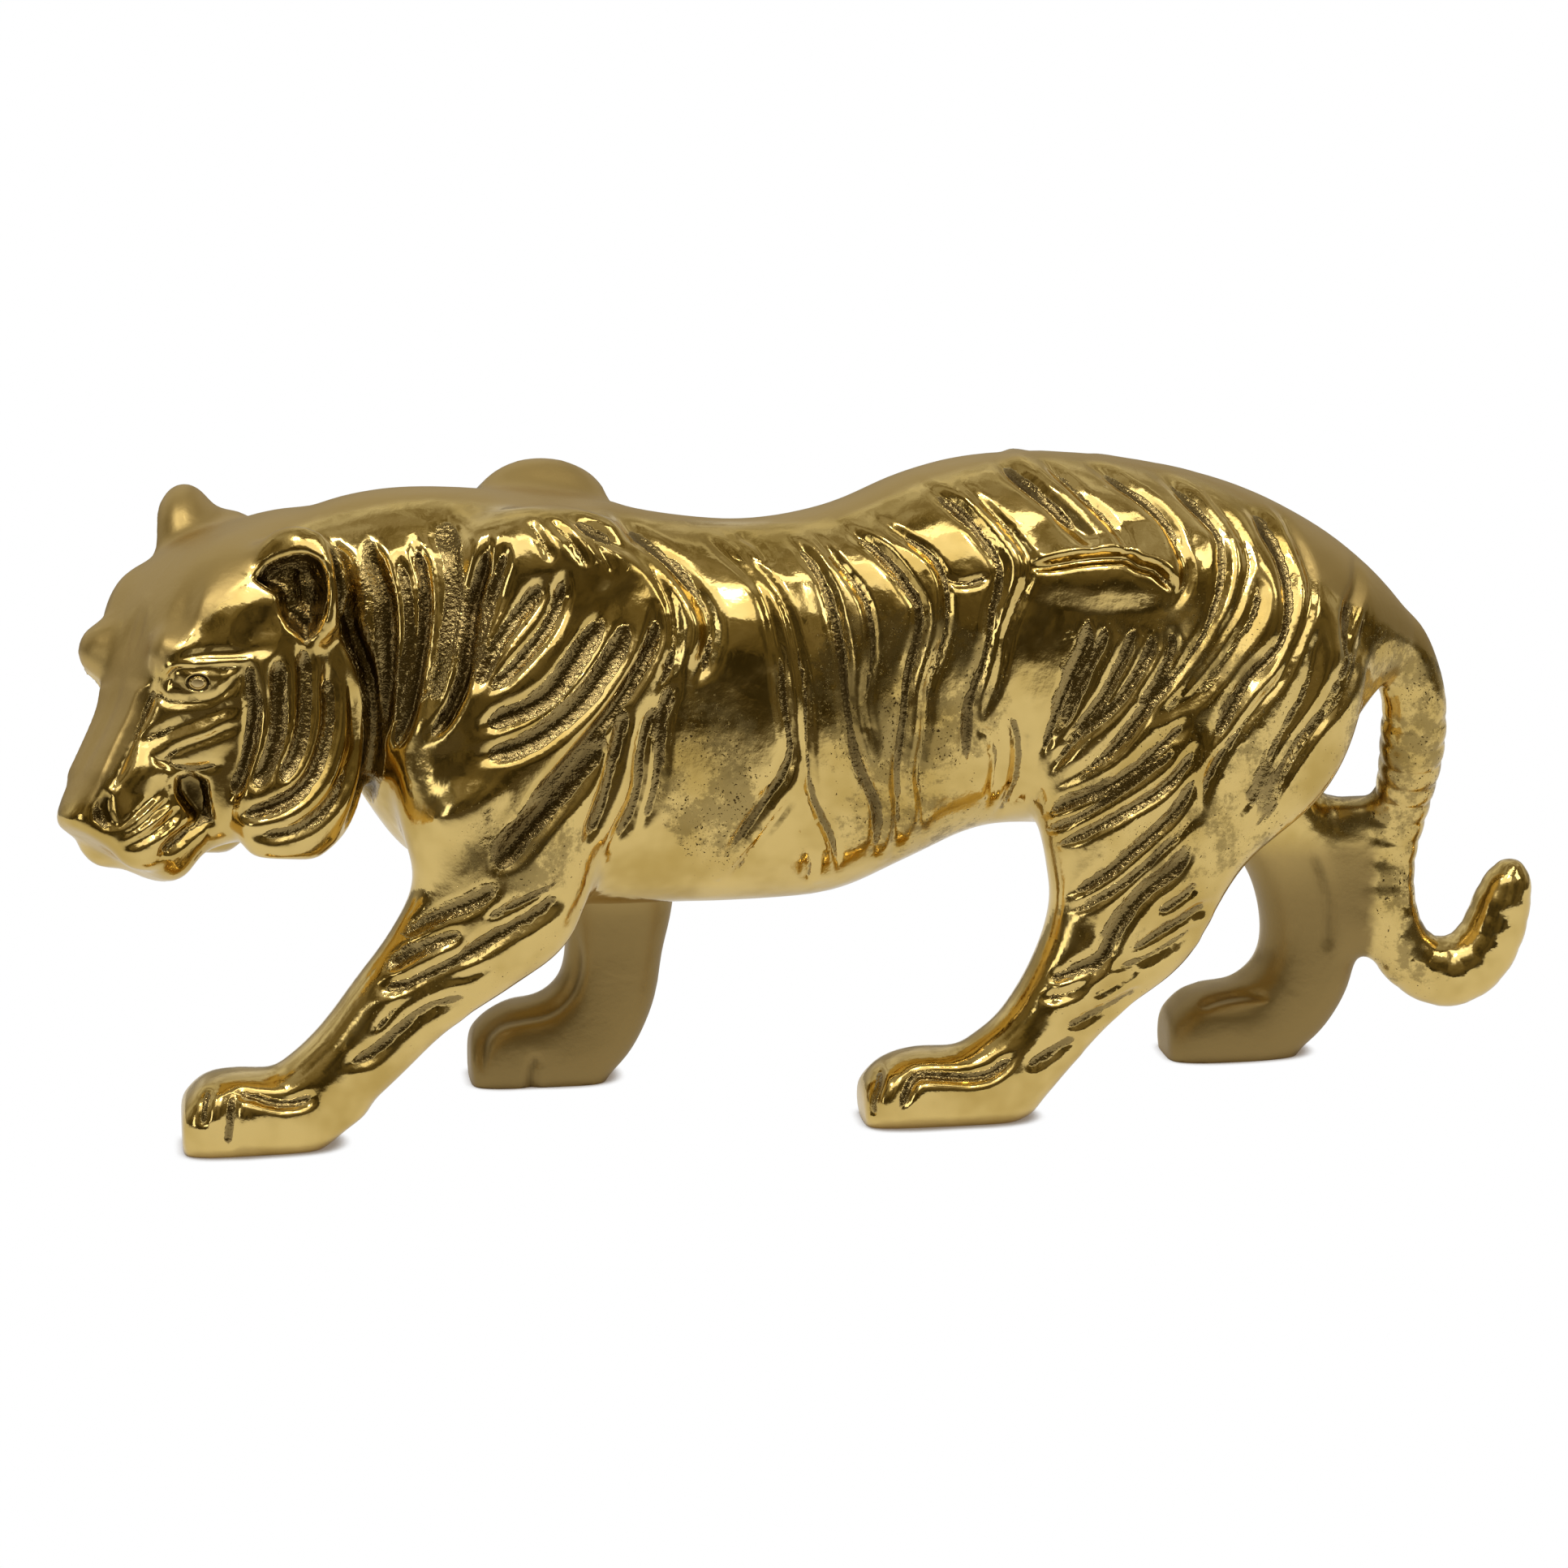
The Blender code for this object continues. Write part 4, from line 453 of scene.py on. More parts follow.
# The step above the smooth leaf on the haunch, and the fur locks below it
HAUNCH = (
    Cut(0.9, 1.5, 1.3, (
        (50, 120), (57, 120.8), (63, 121.8), (69, 122.4), (74.2, 122.4), (77, 120.8), (80.5, 119.8),
        (83.3, 117.5), (85.3, 114.5))),
    Cut(0.9, 0.8, 0.0, ((33.5, 119), (36, 117.3), (40, 117.3), (44.5, 119.2))),
    Cut(1.1, 0.9, 0.5, (
        (66, 109), (65.5, 103.5), (63, 98), (61, 93), (58.7, 88), (56.8, 82.5), (55.5, 78))),
    Cut(1.3, 0.9, 0.4, (
        (70, 108), (68.5, 103), (66, 98), (64, 93.5), (62, 88.5), (59.7, 84), (57.3, 79.5))),
    Cut(1.1, 0.9, 0.5, (
        (76.5, 107), (74.2, 101), (71.7, 96), (69.5, 91.7), (66, 87.5), (62.3, 83), (58.5, 79))),
    Cut(1.2, 0.9, 0.5, (
        (81, 107), (80, 102.5), (77.5, 98), (75, 94), (72.5, 90.5), (69, 87), (64.3, 83),
        (60.3, 79),
        (57.3, 74.5))),
    Cut(1.3, 1.0, 0.5, ((85, 108), (84.7, 102), (82.7, 97.3), (80.3, 93), (77, 89))),
    Cut(1.3, 1.1, 0.6, (
        (89.3, 88.3), (86, 84), (82.3, 80.7), (78, 76.7), (73, 73.2), (69, 71), (65, 69.3),
        (60, 67.3),
        (55.5, 65))),
    Cut(1.0, 0.9, 0.5, (
        (88, 83), (84, 78.3), (80, 75), (76, 72), (71.3, 69), (66, 66), (60.5, 63.3), (56, 61.5))),
    Cut(1.1, 1.0, 0.5, (
        (90.5, 81), (88, 77), (85, 73.3), (81, 70), (76, 67), (70, 63.7), (64, 60.7), (58, 58))),
    Cut(1.3, 1.0, 0.5, (
        (91, 75), (88.5, 70.5), (85, 65.5), (80, 60.5), (75, 56.3), (71, 52.8), (66, 49.5),
        (61, 46.8))),
    Cut(1.1, 0.9, 0.4, (
        (91, 69), (89.5, 64.5), (86, 60.5), (82, 57), (78, 53.3), (74, 50), (70, 47.5), (66, 45.3),
        (61.5, 43))),
    Cut(1.7, 1.1, 0.5, (
        (90.5, 63), (87.3, 56.3), (84, 52.3), (80, 49.5), (76.3, 46), (73.3, 42), (71.3, 38),
        (69.7, 34), (67, 31.7), (62.5, 30.3), (58, 28.7))),
)
# The lower legs on the seen side
NEAR_LEGS = (
    Cut(1.6, 0.9, 0.4, ((-66, 50), (-71, 46), (-77, 43.7), (-82.5, 41.3), (-88, 38))),
    Cut(1.5, 1.0, 0.6, ((-73.5, 38.8), (-79.5, 37), (-85.5, 34.3), (-91.5, 30.5))),
    Cut(1.7, 1.2, 0.6, (
        (-50, 49), (-54, 46), (-58, 43), (-64, 39.7), (-70, 36), (-76, 32.5), (-82, 29.5),
        (-88, 27),
        (-94.5, 25.5))),
    Cut(0.9, 0.8, 0.3, (
        (-66, 32.3), (-72, 29.5), (-78, 27.8), (-83, 25.3), (-88, 22.5), (-92, 18.5), (-95, 15))),
    Cut(1.6, 1.0, 0.6, (
        (-70.5, 24.3), (-76.5, 23.6), (-82, 22), (-87, 18.3), (-91, 14.5), (-95, 11.3),
        (-101, 8.5))),
    Cut(1.1, 0.8, 0.4, ((-50.5, 51), (-55.5, 48.3), (-60, 46), (-65, 43.7), (-69.5, 41.5))),
    Cut(1.2, 0.9, 0.4, ((-107, 2.5), (-111, 0.8), (-116, 0.6), (-121, 2), (-126, 3.2))),
    Cut(1.2, 1.0, 0.5, ((-125.5, 3), (-126, -1), (-126.3, -5), (-126.8, -10))),
    Cut(1.0, 0.7, 0.3, ((-131, 4), (-132, 0), (-132.5, -5))),
    Cut(1.1, 0.9, 0.4, ((65.8, 30.4), (62, 29.7), (57.2, 28.3))),
    Cut(1.0, 0.8, 0.4, ((69.3, 33), (67, 29), (64, 26.3), (60, 24.6), (55.5, 23.8))),
    Cut(1.0, 0.8, 0.4, ((90.7, 50.3), (88.5, 48), (85, 45.5), (81, 43))),
    Cut(1.2, 1.0, 0.5, ((94.5, 46), (90, 43.5), (86, 41), (82, 38.8), (78.3, 36.3), (74, 34))),
    Cut(1.2, 1.0, 0.5, ((91.3, 41), (88, 38.5), (84, 36), (80, 33.7), (75, 31.6), (70, 30))),
    Cut(1.0, 0.8, 0.4, ((78.3, 31), (75, 29), (70.5, 26.2), (66, 24))),
    Cut(1.1, 0.9, 0.5, ((78.5, 26.5), (74.5, 24.3), (70, 22), (65, 19.4), (60, 16.7))),
    Cut(1.3, 0.8, 0.4, ((64.5, 15.7), (60.3, 13.5), (56, 11), (52, 8))),
    Cut(1.2, 1.1, 0.5, (
        (50, 11.5), (47, 9.3), (44, 7.2), (40, 6.4), (33.5, 6.7), (28.5, 7), (26, 5), (24.5, 1),
        (23, -3))),
    Cut(1.1, 0.7, 0.3, ((19.3, 9), (18.7, 5), (17.7, 0.5), (18, -3))),
)
# The near cheek, eye and muzzle, and their mirror image on the other side
FACE = (
    Cut(1.5, 1.0, 0.3, (
        (-121.7, 100.4), (-121.7, 94.9), (-120.8, 90.1), (-121.4, 84), (-122.7, 77.9),
        (-124.5, 72.5),
        (-126.3, 68.2)), 4),
    Cut(1.7, 1.2, 0.4, (
        (-115.4, 100.4), (-115.4, 96.1), (-115.4, 90.7), (-115.4, 85.2), (-116.9, 79.2),
        (-119.3, 74.3),
        (-121.7, 70.1)), 4),
    Cut(1.6, 1.2, 0.4, (
        (-109.9, 103.4), (-109.6, 97.3), (-109.6, 91.9), (-109.9, 85.8), (-111.1, 80.4),
        (-113, 76.1),
        (-115.4, 71.9)), 4),
    Cut(1.6, 1.2, 0.4, (
        (-105.1, 99.8), (-104.5, 93.7), (-104.2, 87.6), (-105.1, 81.6), (-107.2, 75.5),
        (-110.5, 70.7),
        (-115.4, 67.6), (-120.8, 65.8), (-125.1, 64.9)), 4),
    Cut(1.4, 1.0, 0.3, (
        (-99.9, 98.5), (-99, 92.5), (-98.8, 85.8), (-99.3, 79.8), (-101.1, 73.7), (-103.8, 68.2),
        (-107.8, 64), (-112.4, 61.6), (-118.4, 60.7), (-123.3, 61)), 4),
    Cut(1.2, 0.5, 0, (
        (-139, 99.7), (-134, 100.7), (-129, 101.2), (-124, 101.3), (-119.5, 102),
        (-115.4, 103.6)), 4),
    Cut(0.5, 0.9, 0, (
        (-141.2, 93), (-140.3, 95.6), (-139.3, 97.4), (-137, 98.1), (-132, 98.2), (-127, 98.1),
        (-122.5, 99.1))),
    Cut(0.7, 0.75, -0.3, (
        (-142.3, 92), (-139.8, 90.6), (-135.4, 90.3), (-130.5, 91), (-127, 93), (-124.6, 95.6),
        (-122.6, 98.6))),
    Cut(1.2, 0.6, 0.3, (
        (-147.5, 80.6), (-143.5, 82.6), (-138.5, 84.6), (-133.5, 86.6), (-128.5, 88.4),
        (-124.6, 90.6))),
    Cut(0.8, 1.0, 0, (
        (-144.4, 78.6), (-141.2, 77.2), (-139.6, 78.6), (-136.6, 80.6), (-131.7, 82.4),
        (-127.5, 84),
        (-123.6, 85.6))),
    Cut(0.8, 0.8, 0.3, (
        (-144, 78.4), (-140.6, 76.8), (-137.2, 75.8), (-133, 75.6), (-127.6, 76.6))),
    Cut(1.1, 0.9, -0.9, (
        (-143, 94.4), (-144.6, 90.6), (-146.6, 85.4), (-149, 80.6), (-151.6, 74.5), (-154, 69.5))),
    Cut(0.45, 0.9, 0.4, ((-141.8, 70.4), (-144.6, 68), (-148, 64.8), (-151.8, 61.6))),
    Cut(0.45, 0.9, 0.4, ((-139.6, 68.4), (-142.8, 65.8), (-146.4, 62.8), (-151.4, 59.8))),
    Cut(0.8, 0.9, 0.3, ((-137.4, 66.4), (-140.8, 63), (-145, 60.2), (-150.4, 57.6))),
    Cut(0.9, 1.0, 0.6, ((-131.8, 63.6), (-134.6, 62.4), (-138, 59.4), (-142.4, 56))),
)
# The eyeball, the corner of the eye, the slopes of the cheek, the dip over the eye and the furrows
FACE_SPOTS = (
    Spot((-133, 94.4), (6.2, 3.2), 8, 0.3),
    Spot((-142, 91.8), (1.5, 1.2), 0, -0.7),
    Spot((-131.5, 83.2), (9, 6.5), 20, 1.0),
    Spot((-120.5, 106.8), (7, 5.5), 40, -1.0),
    Spot((-149, 104.5), (2.6, 9.5), -23, -0.8),
    Spot((-137, 109.5), (3.4, 12), -19, -0.6),
    Spot((-145.2, 74.6), (6, 5), 30, 0.8),
    Spot((-133, 96.6), (5.5, 4.4), 5, 0.8),
)
# The corner of the mouth and the nostril
FACE_HOLLOWS = (
    Hollow(1.8, 2.6, (
        (-137.8, 73.4), (-134.8, 74.3), (-131.7, 72.5), (-131.1, 67.6), (-130.2, 63.6),
        (-133, 63.6),
        (-136, 67), (-137.8, 70.1))),
    Hollow(1.2, 1.6, (
        (-154.8, 70.4), (-153, 69.5), (-152.7, 65.8), (-151.7, 62.8), (-154.2, 61.9), (-156.9, 64),
        (-157.2, 66.4))),
)
# The near ear: the hollow inside its rim
EAR_HOLLOW = (
    Hollow(3.4, 2.0, (
        (-120.2, 118.5), (-118.4, 121), (-115.4, 122.5), (-112.4, 123.4), (-109.3, 123.5),
        (-106.3, 121.9),
        (-104.8, 119.2), (-104.4, 114.9), (-105.4, 110.1), (-106.9, 106.4), (-109, 104),
        (-110.8, 105.8),
        (-113, 107.6), (-114.8, 110.7), (-115.4, 114.9), (-117.8, 116.7))),
    Hollow(1.6, 2.0, (
        (-113.4, 121.2), (-109.6, 121.2), (-107, 118), (-107, 112), (-109, 108.5), (-112, 112),
        (-113, 116.5))),
)
# The far legs: their outer sides in side view, then their inner sides on the sheet
FAR_OUTSIDES = (
    Cut(1.5, 1.1, 0.5, (
        (-30, 118), (-34, 104), (-36, 90), (-36, 76), (-36, 62), (-35, 50), (-34, 38))),
    Cut(1.5, 1.1, 0.5, (
        (-40, 112), (-43, 98), (-44, 84), (-43, 70), (-41.5, 56), (-40, 44), (-40, 33))),
    Cut(1.5, 1.1, 0.5, (
        (-50, 110), (-52, 96), (-51, 82), (-49, 68), (-47, 54), (-45.5, 42), (-46, 30), (-49, 22))),
    Cut(1.3, 1.0, 0.5, ((-59, 108), (-60, 94), (-58, 80), (-55, 66), (-52.5, 56))),
    Cut(1.3, 1.0, 0.4, ((-66, 15), (-61, 10), (-60, 4), (-61, 0))),
    Cut(1.5, 1.1, 0.5, (
        (106, 112), (108, 98), (109, 84), (112, 72), (116, 62), (120, 52), (122, 42), (122, 32))),
    Cut(1.5, 1.1, 0.5, (
        (95, 110), (97, 96), (99, 82), (103, 70), (108, 60), (113, 50), (116, 41), (117.5, 32))),
    Cut(1.5, 1.1, 0.5, ((84, 106), (86, 92), (89, 80), (94, 69), (100, 60), (106, 51))),
    Cut(1.5, 1.1, 0.5, (
        (115, 102), (117, 88), (119, 76), (123, 66), (127, 56), (128, 44), (127.5, 32), (124, 22))),
    Cut(1.3, 1.0, 0.4, ((98, 15), (101, 9), (102, 4), (101, 0))),
)
FAR_INSIDES = (
    Cut(1.2, 0.9, -0.3, (
        (-49, 40), (-48.5, 34), (-49, 29), (-51, 24.5), (-55, 21.3), (-61, 20), (-66, 18.7),
        (-69.3, 15.5), (-70, 11), (-69.5, 6))),
    Cut(1.0, 1.0, 0.0, ((-57, 11), (-58.3, 8.5), (-58.8, 5.5), (-58.8, 2.5))),
    Cut(1.3, 0.8, 0.0, ((116, 58), (118.5, 53), (120, 47), (120, 40), (119.7, 34))),
    Cut(1.0, 0.8, 0.0, ((90.5, 22), (95, 24), (101, 25), (107, 24))),
)
# Grooves round the tail, spaced evenly along its middle line
RING_PITCH = 5.6
RING_DEPTH = 0.8
# Round the eye, strokes that stand out: the upper lid, the lower lid and the corner
LIDS = (
    Cut(0.45, 0.75, 0, (
        (-142.2, 92.6), (-141.6, 94.4), (-140.9, 96.8), (-139.4, 98.3), (-137.2, 99), (-133, 99.3),
        (-128, 99.5), (-124, 99.8), (-120.6, 100.2))),
    Cut(0.35, 0.4, 0, (
        (-139.6, 93.3), (-136.6, 92.3), (-133.2, 91.9), (-130.2, 92.6), (-128.1, 94.2),
        (-126.6, 96.2),
        (-125, 97.6))),
    Cut(0.35, 0.5, 0, ((-126.6, 92.8), (-125.2, 94.6), (-124.2, 97))),
    Cut(0.5, 0.5, 0, ((-140, 79.6), (-137, 81.6), (-133, 83.2), (-129, 84.6))),
)
# Swellings whose lower slopes mirror the table
BODY_SLOPES = (
    Spot((68, 121), (26, 11), -3, 1.6),
    Spot((-12, 109), (16, 18), 0, 1.0),
)
# The irises in the frame, in metres
IRISES = ((-0.1388, -0.0308, 0.1047), (-0.1576, 0.0025, 0.0993))
# Above this line on the sheet, along the back and over the brow, the brass is satin
SATIN_LINE = (
    (-150, 60), (-148.5, 82), (-144.5, 96), (-141.5, 98.1), (-137.1, 103.8), (-132, 108.9),
    (-125.6, 115.3), (-121.8, 120.4), (-118, 126.7), (-111.6, 129.8), (-103, 132.5), (-84, 136),
    (-60, 134), (-30, 131), (0, 130.5), (10, 131.5), (17, 134.5), (28, 139.5), (46, 144.5),
    (66, 144.5),
    (90, 140), (101, 135), (110, 131.5), (116, 118), (126, 112), (150, 96),
)
# Where the rough skin of the casting shows between the folds
ROUGH = (
    Spot((-94, 98), (9, 30), 0, 1.0),
    Spot((-66, 106), (13, 14), 30, 0.7),
    Spot((-46, 92), (12, 20), -35, 1.0),
    Spot((-60, 72), (8, 22), -30, 0.9),
    Spot((-26, 84), (7, 10), 0, 0.7),
    Spot((70, 96), (16, 14), -30, 1.0),
    Spot((74, 68), (20, 10), 30, 0.9),
    Spot((78, 48), (16, 10), 35, 0.8),
    Spot((103, 76), (5, 26), 25, 0.6),
    Spot((-108, 84), (14, 22), 0, 0.9),
    Spot((-78, 40), (22, 6), 30, 0.6),
)
# Grooves that are polished all the same
BRIGHT = (
    Spot((-126, 101.4), (11, 1.6), -4, 1.0),
    Spot((-147, 70), (9, 12), 20, 0.9),
    Spot((-135, 68), (3, 6), 0, 0.8),
    Spot((-112, 114), (8, 11), 0, 0.3),
    Spot((-133, 95), (9, 4), 5, 0.6),
    Spot((-120.5, 106.8), (8, 6), 40, 1.0),
)
# Where the flank is pitted
PITTED = (
    Spot((-18, 72), (14, 22), 0, 1.0),
    Spot((24, 92), (26, 24), 0, 1.0),
    Spot((26, 66), (22, 14), 0, 0.8),
    Spot((-62, 58), (18, 14), 0, 0.8),
    Spot((-100, 20), (18, 12), 0, 0.4),
    Spot((70, 30), (20, 16), 0, 0.6),
    Spot((70, 120), (30, 14), 0, 0.5),
    Spot((90, 80), (30, 40), 0, 0.8),
    Spot((140, 70), (22, 60), 0, 0.9),
    Spot((-70, 30), (30, 30), 30, 0.6),
)


def spline(rows: tuple, steps: int) -> np.ndarray:
    """Runs a smooth Catmull-Rom curve through rows of numbers.

    Args:
        rows: The rows to pass through.
        steps: How many steps are made from one row to the next.

    Returns:
        The rows of the curve, ends included.
    """
    v = np.asarray(rows, float)
    padded = np.vstack([2 * v[0] - v[1], v, 2 * v[-1] - v[-2]])
    out = []
    for i in range(len(v) - 1):
        a, b, c, d = padded[i:i + 4]
        for t in np.arange(steps) / steps:
            out.append(0.5 * (2 * b + (c - a) * t + (2 * a - 5 * b + 4 * c - d) * t ** 2
                              + (3 * b - a - 3 * c + d) * t ** 3))
    out.append(v[-1])
    return np.array(out)


def ramp(value: np.ndarray, low: float, high: float) -> np.ndarray:
    """Rises smoothly from 0 at low to 1 at high."""
    t = np.clip((value - low) / (high - low), 0, 1)
    return t * t * (3 - 2 * t)


def ball_matrix(shape: Ball, flip: int = 1) -> Matrix:
    """From a unit sphere to the ellipsoid, or to its mirror image across XZ where flip is -1."""
    x, y, z = shape.centre
    a, b, c = (math.radians(degrees) for degrees in shape.turn)
    turn = Euler((a * flip, b, c * flip)).to_matrix().to_4x4()
    return Matrix.Translation((x, y * flip, z)) @ turn @ Matrix.Diagonal((*shape.radii, 1))


def head_matrix() -> Matrix:
    """From the head's own axes to the figure's."""
    yaw = math.radians(HEAD_TURN)
    forward = Vector((-math.cos(yaw), -math.sin(yaw), 0))
    side = Vector((0, 0, 1)).cross(forward)
    axes = Matrix((forward, side, (0, 0, 1))).transposed().to_4x4()
    return Matrix.Translation(HEAD_PIVOT) @ axes @ Matrix.Rotation(math.radians(HEAD_TILT), 4, "X")


@dataclass
class Forms:
    """The loose forms that the figure is fused from."""

    around: int = 32
    bm: bmesh.types.BMesh = field(default_factory=bmesh.new)

    def skin(self, rings: list) -> None:
        """Closes the rings of points into one solid with flat ends."""
        loops = [[self.bm.verts.new(p) for p in ring] for ring in rings]
        for a, b in zip(loops, loops[1:]):
            for i in range(len(a)):
                j = (i + 1) % len(a)
                self.bm.faces.new((a[i], a[j], b[j], b[i]))
        self.bm.faces.new(loops[0])
        self.bm.faces.new(loops[-1][::-1])

    def loft(self, rungs: tuple, matrix: Matrix = Matrix.Identity(4), deep: float = 1.0) -> None:
        """Lofts one form through its rungs, with deep times their depth."""
        angles = np.arange(self.around) * 2 * math.pi / self.around
        c, s = np.cos(angles), np.sin(angles)
        rows = [(*r.front, *r.back, r.y, r.depth, r.square) for r in rungs]
        rings = []
        for ax, az, bx, bz, y, depth, square in spline(rows, 4):
            up = np.sign(c) * np.abs(c) ** (2 / square)
            side = np.sign(s) * np.abs(s) ** (2 / square)
            x = (ax + bx) / 2 + (ax - bx) / 2 * up
            z = (az + bz) / 2 + (az - bz) / 2 * up
            rings.append([matrix @ Vector(p) for p in zip(x, y + deep * depth * side, z)])
        self.skin(rings)

    def tube(self, rows: tuple, around: int = 20) -> None:
        """Lofts the tail along rows of x, y, z and share of the radius."""
        line = spline(rows, 6)
        tangent = np.gradient(line[:, :3], axis=0)
        tangent /= np.linalg.norm(tangent, axis=1)[:, None]
        side = np.cross(tangent, np.cross([0.0, 1.0, 0.0], tangent))
        side /= np.linalg.norm(side, axis=1)[:, None]
        other = np.cross(tangent, side)
        angles = np.arange(around) * 2 * math.pi / around
        rings = []
        for p, a, b in zip(line, side, other):
            radius = p[3] * TAIL_RADIUS
            rings.append([Vector(p[:3] + radius * (math.cos(t) * a + math.sin(t) * b))
                          for t in angles])
        self.skin(rings)

    def ball(self, shape: Ball, matrix: Matrix = Matrix.Identity(4), flip: int = 1) -> None:
        """Adds an ellipsoid."""
        place = matrix @ ball_matrix(shape, flip)
        bmesh.ops.create_uvsphere(self.bm, u_segments=28, v_segments=18, radius=1.0, matrix=place)

    def head(self) -> None:
        """Lofts the head, and adds its ruff, brows, lips and ears on both sides."""
        place = head_matrix()
        self.loft(HEAD, place)
        for side in Side:
            self.loft(RUFF, place @ Matrix.Translation((0, RUFF_SIDE * side.value, 0)))
            self.ball(LIP, place, side.value)
        for shape in (NEAR_BROW, FAR_BROW, NEAR_TEMPLE, FAR_TEMPLE,
                      NEAR_EAR, FAR_EAR, FAR_EAR_ROOT):
            self.ball(shape, place)

    def mesh(self) -> bpy.types.Mesh:
        """All forms of the figure in one mesh, before they are fused."""
        self.loft(TORSO, deep=BODY_HALF_WIDTH)
        self.loft(TAIL_WEB)
        for rungs in (NEAR_FRONT_LEG, NEAR_FRONT_PAW, NEAR_HIND_LEG, NEAR_HIND_PAW):
            self.loft(rungs, Matrix.Translation((0, -LEG_SPREAD, 0)))
        for rungs in (FAR_FRONT_LEG, FAR_FRONT_PAW, FAR_HIND_LEG, FAR_HIND_PAW):
            self.loft(rungs, Matrix.Translation((0, LEG_SPREAD, 0)))
        self.tube(TAIL)
        for shape in MUSCLES:
            self.ball(shape)
        self.head()
        bmesh.ops.recalc_face_normals(self.bm, faces=self.bm.faces)
        mesh = bpy.data.meshes.new("forms")
        self.bm.to_mesh(mesh)
        self.bm.free()
        return mesh


class Surface:
    """The points of a mesh, for smoothing and carving."""

    def __init__(self, mesh: bpy.types.Mesh) -> None:
        """Reads the points and the edges of the mesh."""
        self.mesh = mesh
        points = np.empty(len(mesh.vertices) * 3)
        mesh.vertices.foreach_get("co", points)
        self.points = points.reshape(-1, 3)
        edges = np.empty(len(mesh.edges) * 2, np.int64)
        mesh.edges.foreach_get("vertices", edges)
        self.edges = edges.reshape(-1, 2)

    def spread(self, value: np.ndarray) -> np.ndarray:
        """The mean of each point's neighbours, for one number a point."""
        a, b = self.edges.T
        n = len(self.points)
        count = np.bincount(a, minlength=n) + np.bincount(b, minlength=n)
        return (np.bincount(a, value[b], n) + np.bincount(b, value[a], n)) / np.maximum(count, 1)

    def pull(self) -> np.ndarray:
        """From each point to the mean of its neighbours."""
        return np.stack([self.spread(self.points[:, k]) for k in range(3)], axis=1) - self.points

    def normals(self) -> np.ndarray:
        """The unit normal at each point."""
        self.store()
        normals = np.empty(len(self.points) * 3)
        self.mesh.vertex_normals.foreach_get("vector", normals)
        return normals.reshape(-1, 3)

    def smooth(self, passes: int) -> None:
        """Relaxes the skin."""
        for _ in range(passes):
            self.points += 0.5 * self.pull()

    def fill(self, passes: int, weight: np.ndarray) -> None:
        """Fills the creases where forms meet, and leaves all that swells."""
        for k in range(passes):
            if k % 5 == 0:
                normal = self.normals()
            out = np.clip(np.sum(self.pull() * normal, axis=1), 0, None) * weight
            self.points += 0.9 * out[:, None] * normal

    def store(self) -> None:
        """Puts the points back into the mesh."""
        self.mesh.vertices.foreach_set("co", self.points.ravel())
        self.mesh.update()


def head_share(points: np.ndarray) -> tuple[np.ndarray, np.ndarray]:
    """1 on the head and ruff, 0 from the neck back, and each point in the head's own axes."""
    inverse = np.array(head_matrix().inverted())
    own = points @ inverse[:3, :3].T + inverse[:3, 3]
    return ramp(own[:, 0] - 0.25 * own[:, 2], -14, -8), own


def eye_axes() -> tuple[np.ndarray, np.ndarray, np.ndarray, np.ndarray]:
    """Where the eye stands, and its forward, right and up directions."""
    turn, drop = math.radians(EYE_TURN), math.radians(EYE_DROP)
    level = math.cos(drop)
    forward = np.array([math.sin(turn) * level, math.cos(turn) * level, -math.sin(drop)])
    right = np.array([math.cos(turn), -math.sin(turn), 0.0])
    return np.array(EYE_TARGET) - forward * EYE_DISTANCE, forward, right, np.cross(right, forward)


def on_sheet(points: np.ndarray, normals: np.ndarray) -> tuple[np.ndarray, np.ndarray]:
    """Where the points fall on the tracing sheet, and how far each faces the eye."""
    eye, forward, right, up = eye_axes()
    ray = points - eye
    scale = EYE_DISTANCE / (ray @ forward)
    sheet = np.stack([(ray @ right) * scale, (ray @ up) * scale + EYE_TARGET.z], axis=1)
    facing = -np.sum(ray * normals, axis=1) / np.linalg.norm(ray, axis=1)
    return sheet, ramp(facing, 0.02, 0.3)


def from_lines(sheet: np.ndarray, start: np.ndarray, span: np.ndarray) -> tuple[np.ndarray, ...]:
    """How the places on the sheet lie to straight lines.

    Args:
        sheet: Places on the tracing sheet.
        start: Where each line starts.
        span: From its start to its end.

    Returns:
        For each place and line, the share of the line that is passed at its nearest point,
        the way from that point, and the square of its length.
    """
    q = sheet[:, None]
    t = np.clip(np.sum((q - start) * span, axis=2) / np.sum(span ** 2, axis=2), 0, 1)
    away = q - start - t[..., None] * span
    return t, away, np.sum(away ** 2, axis=2)


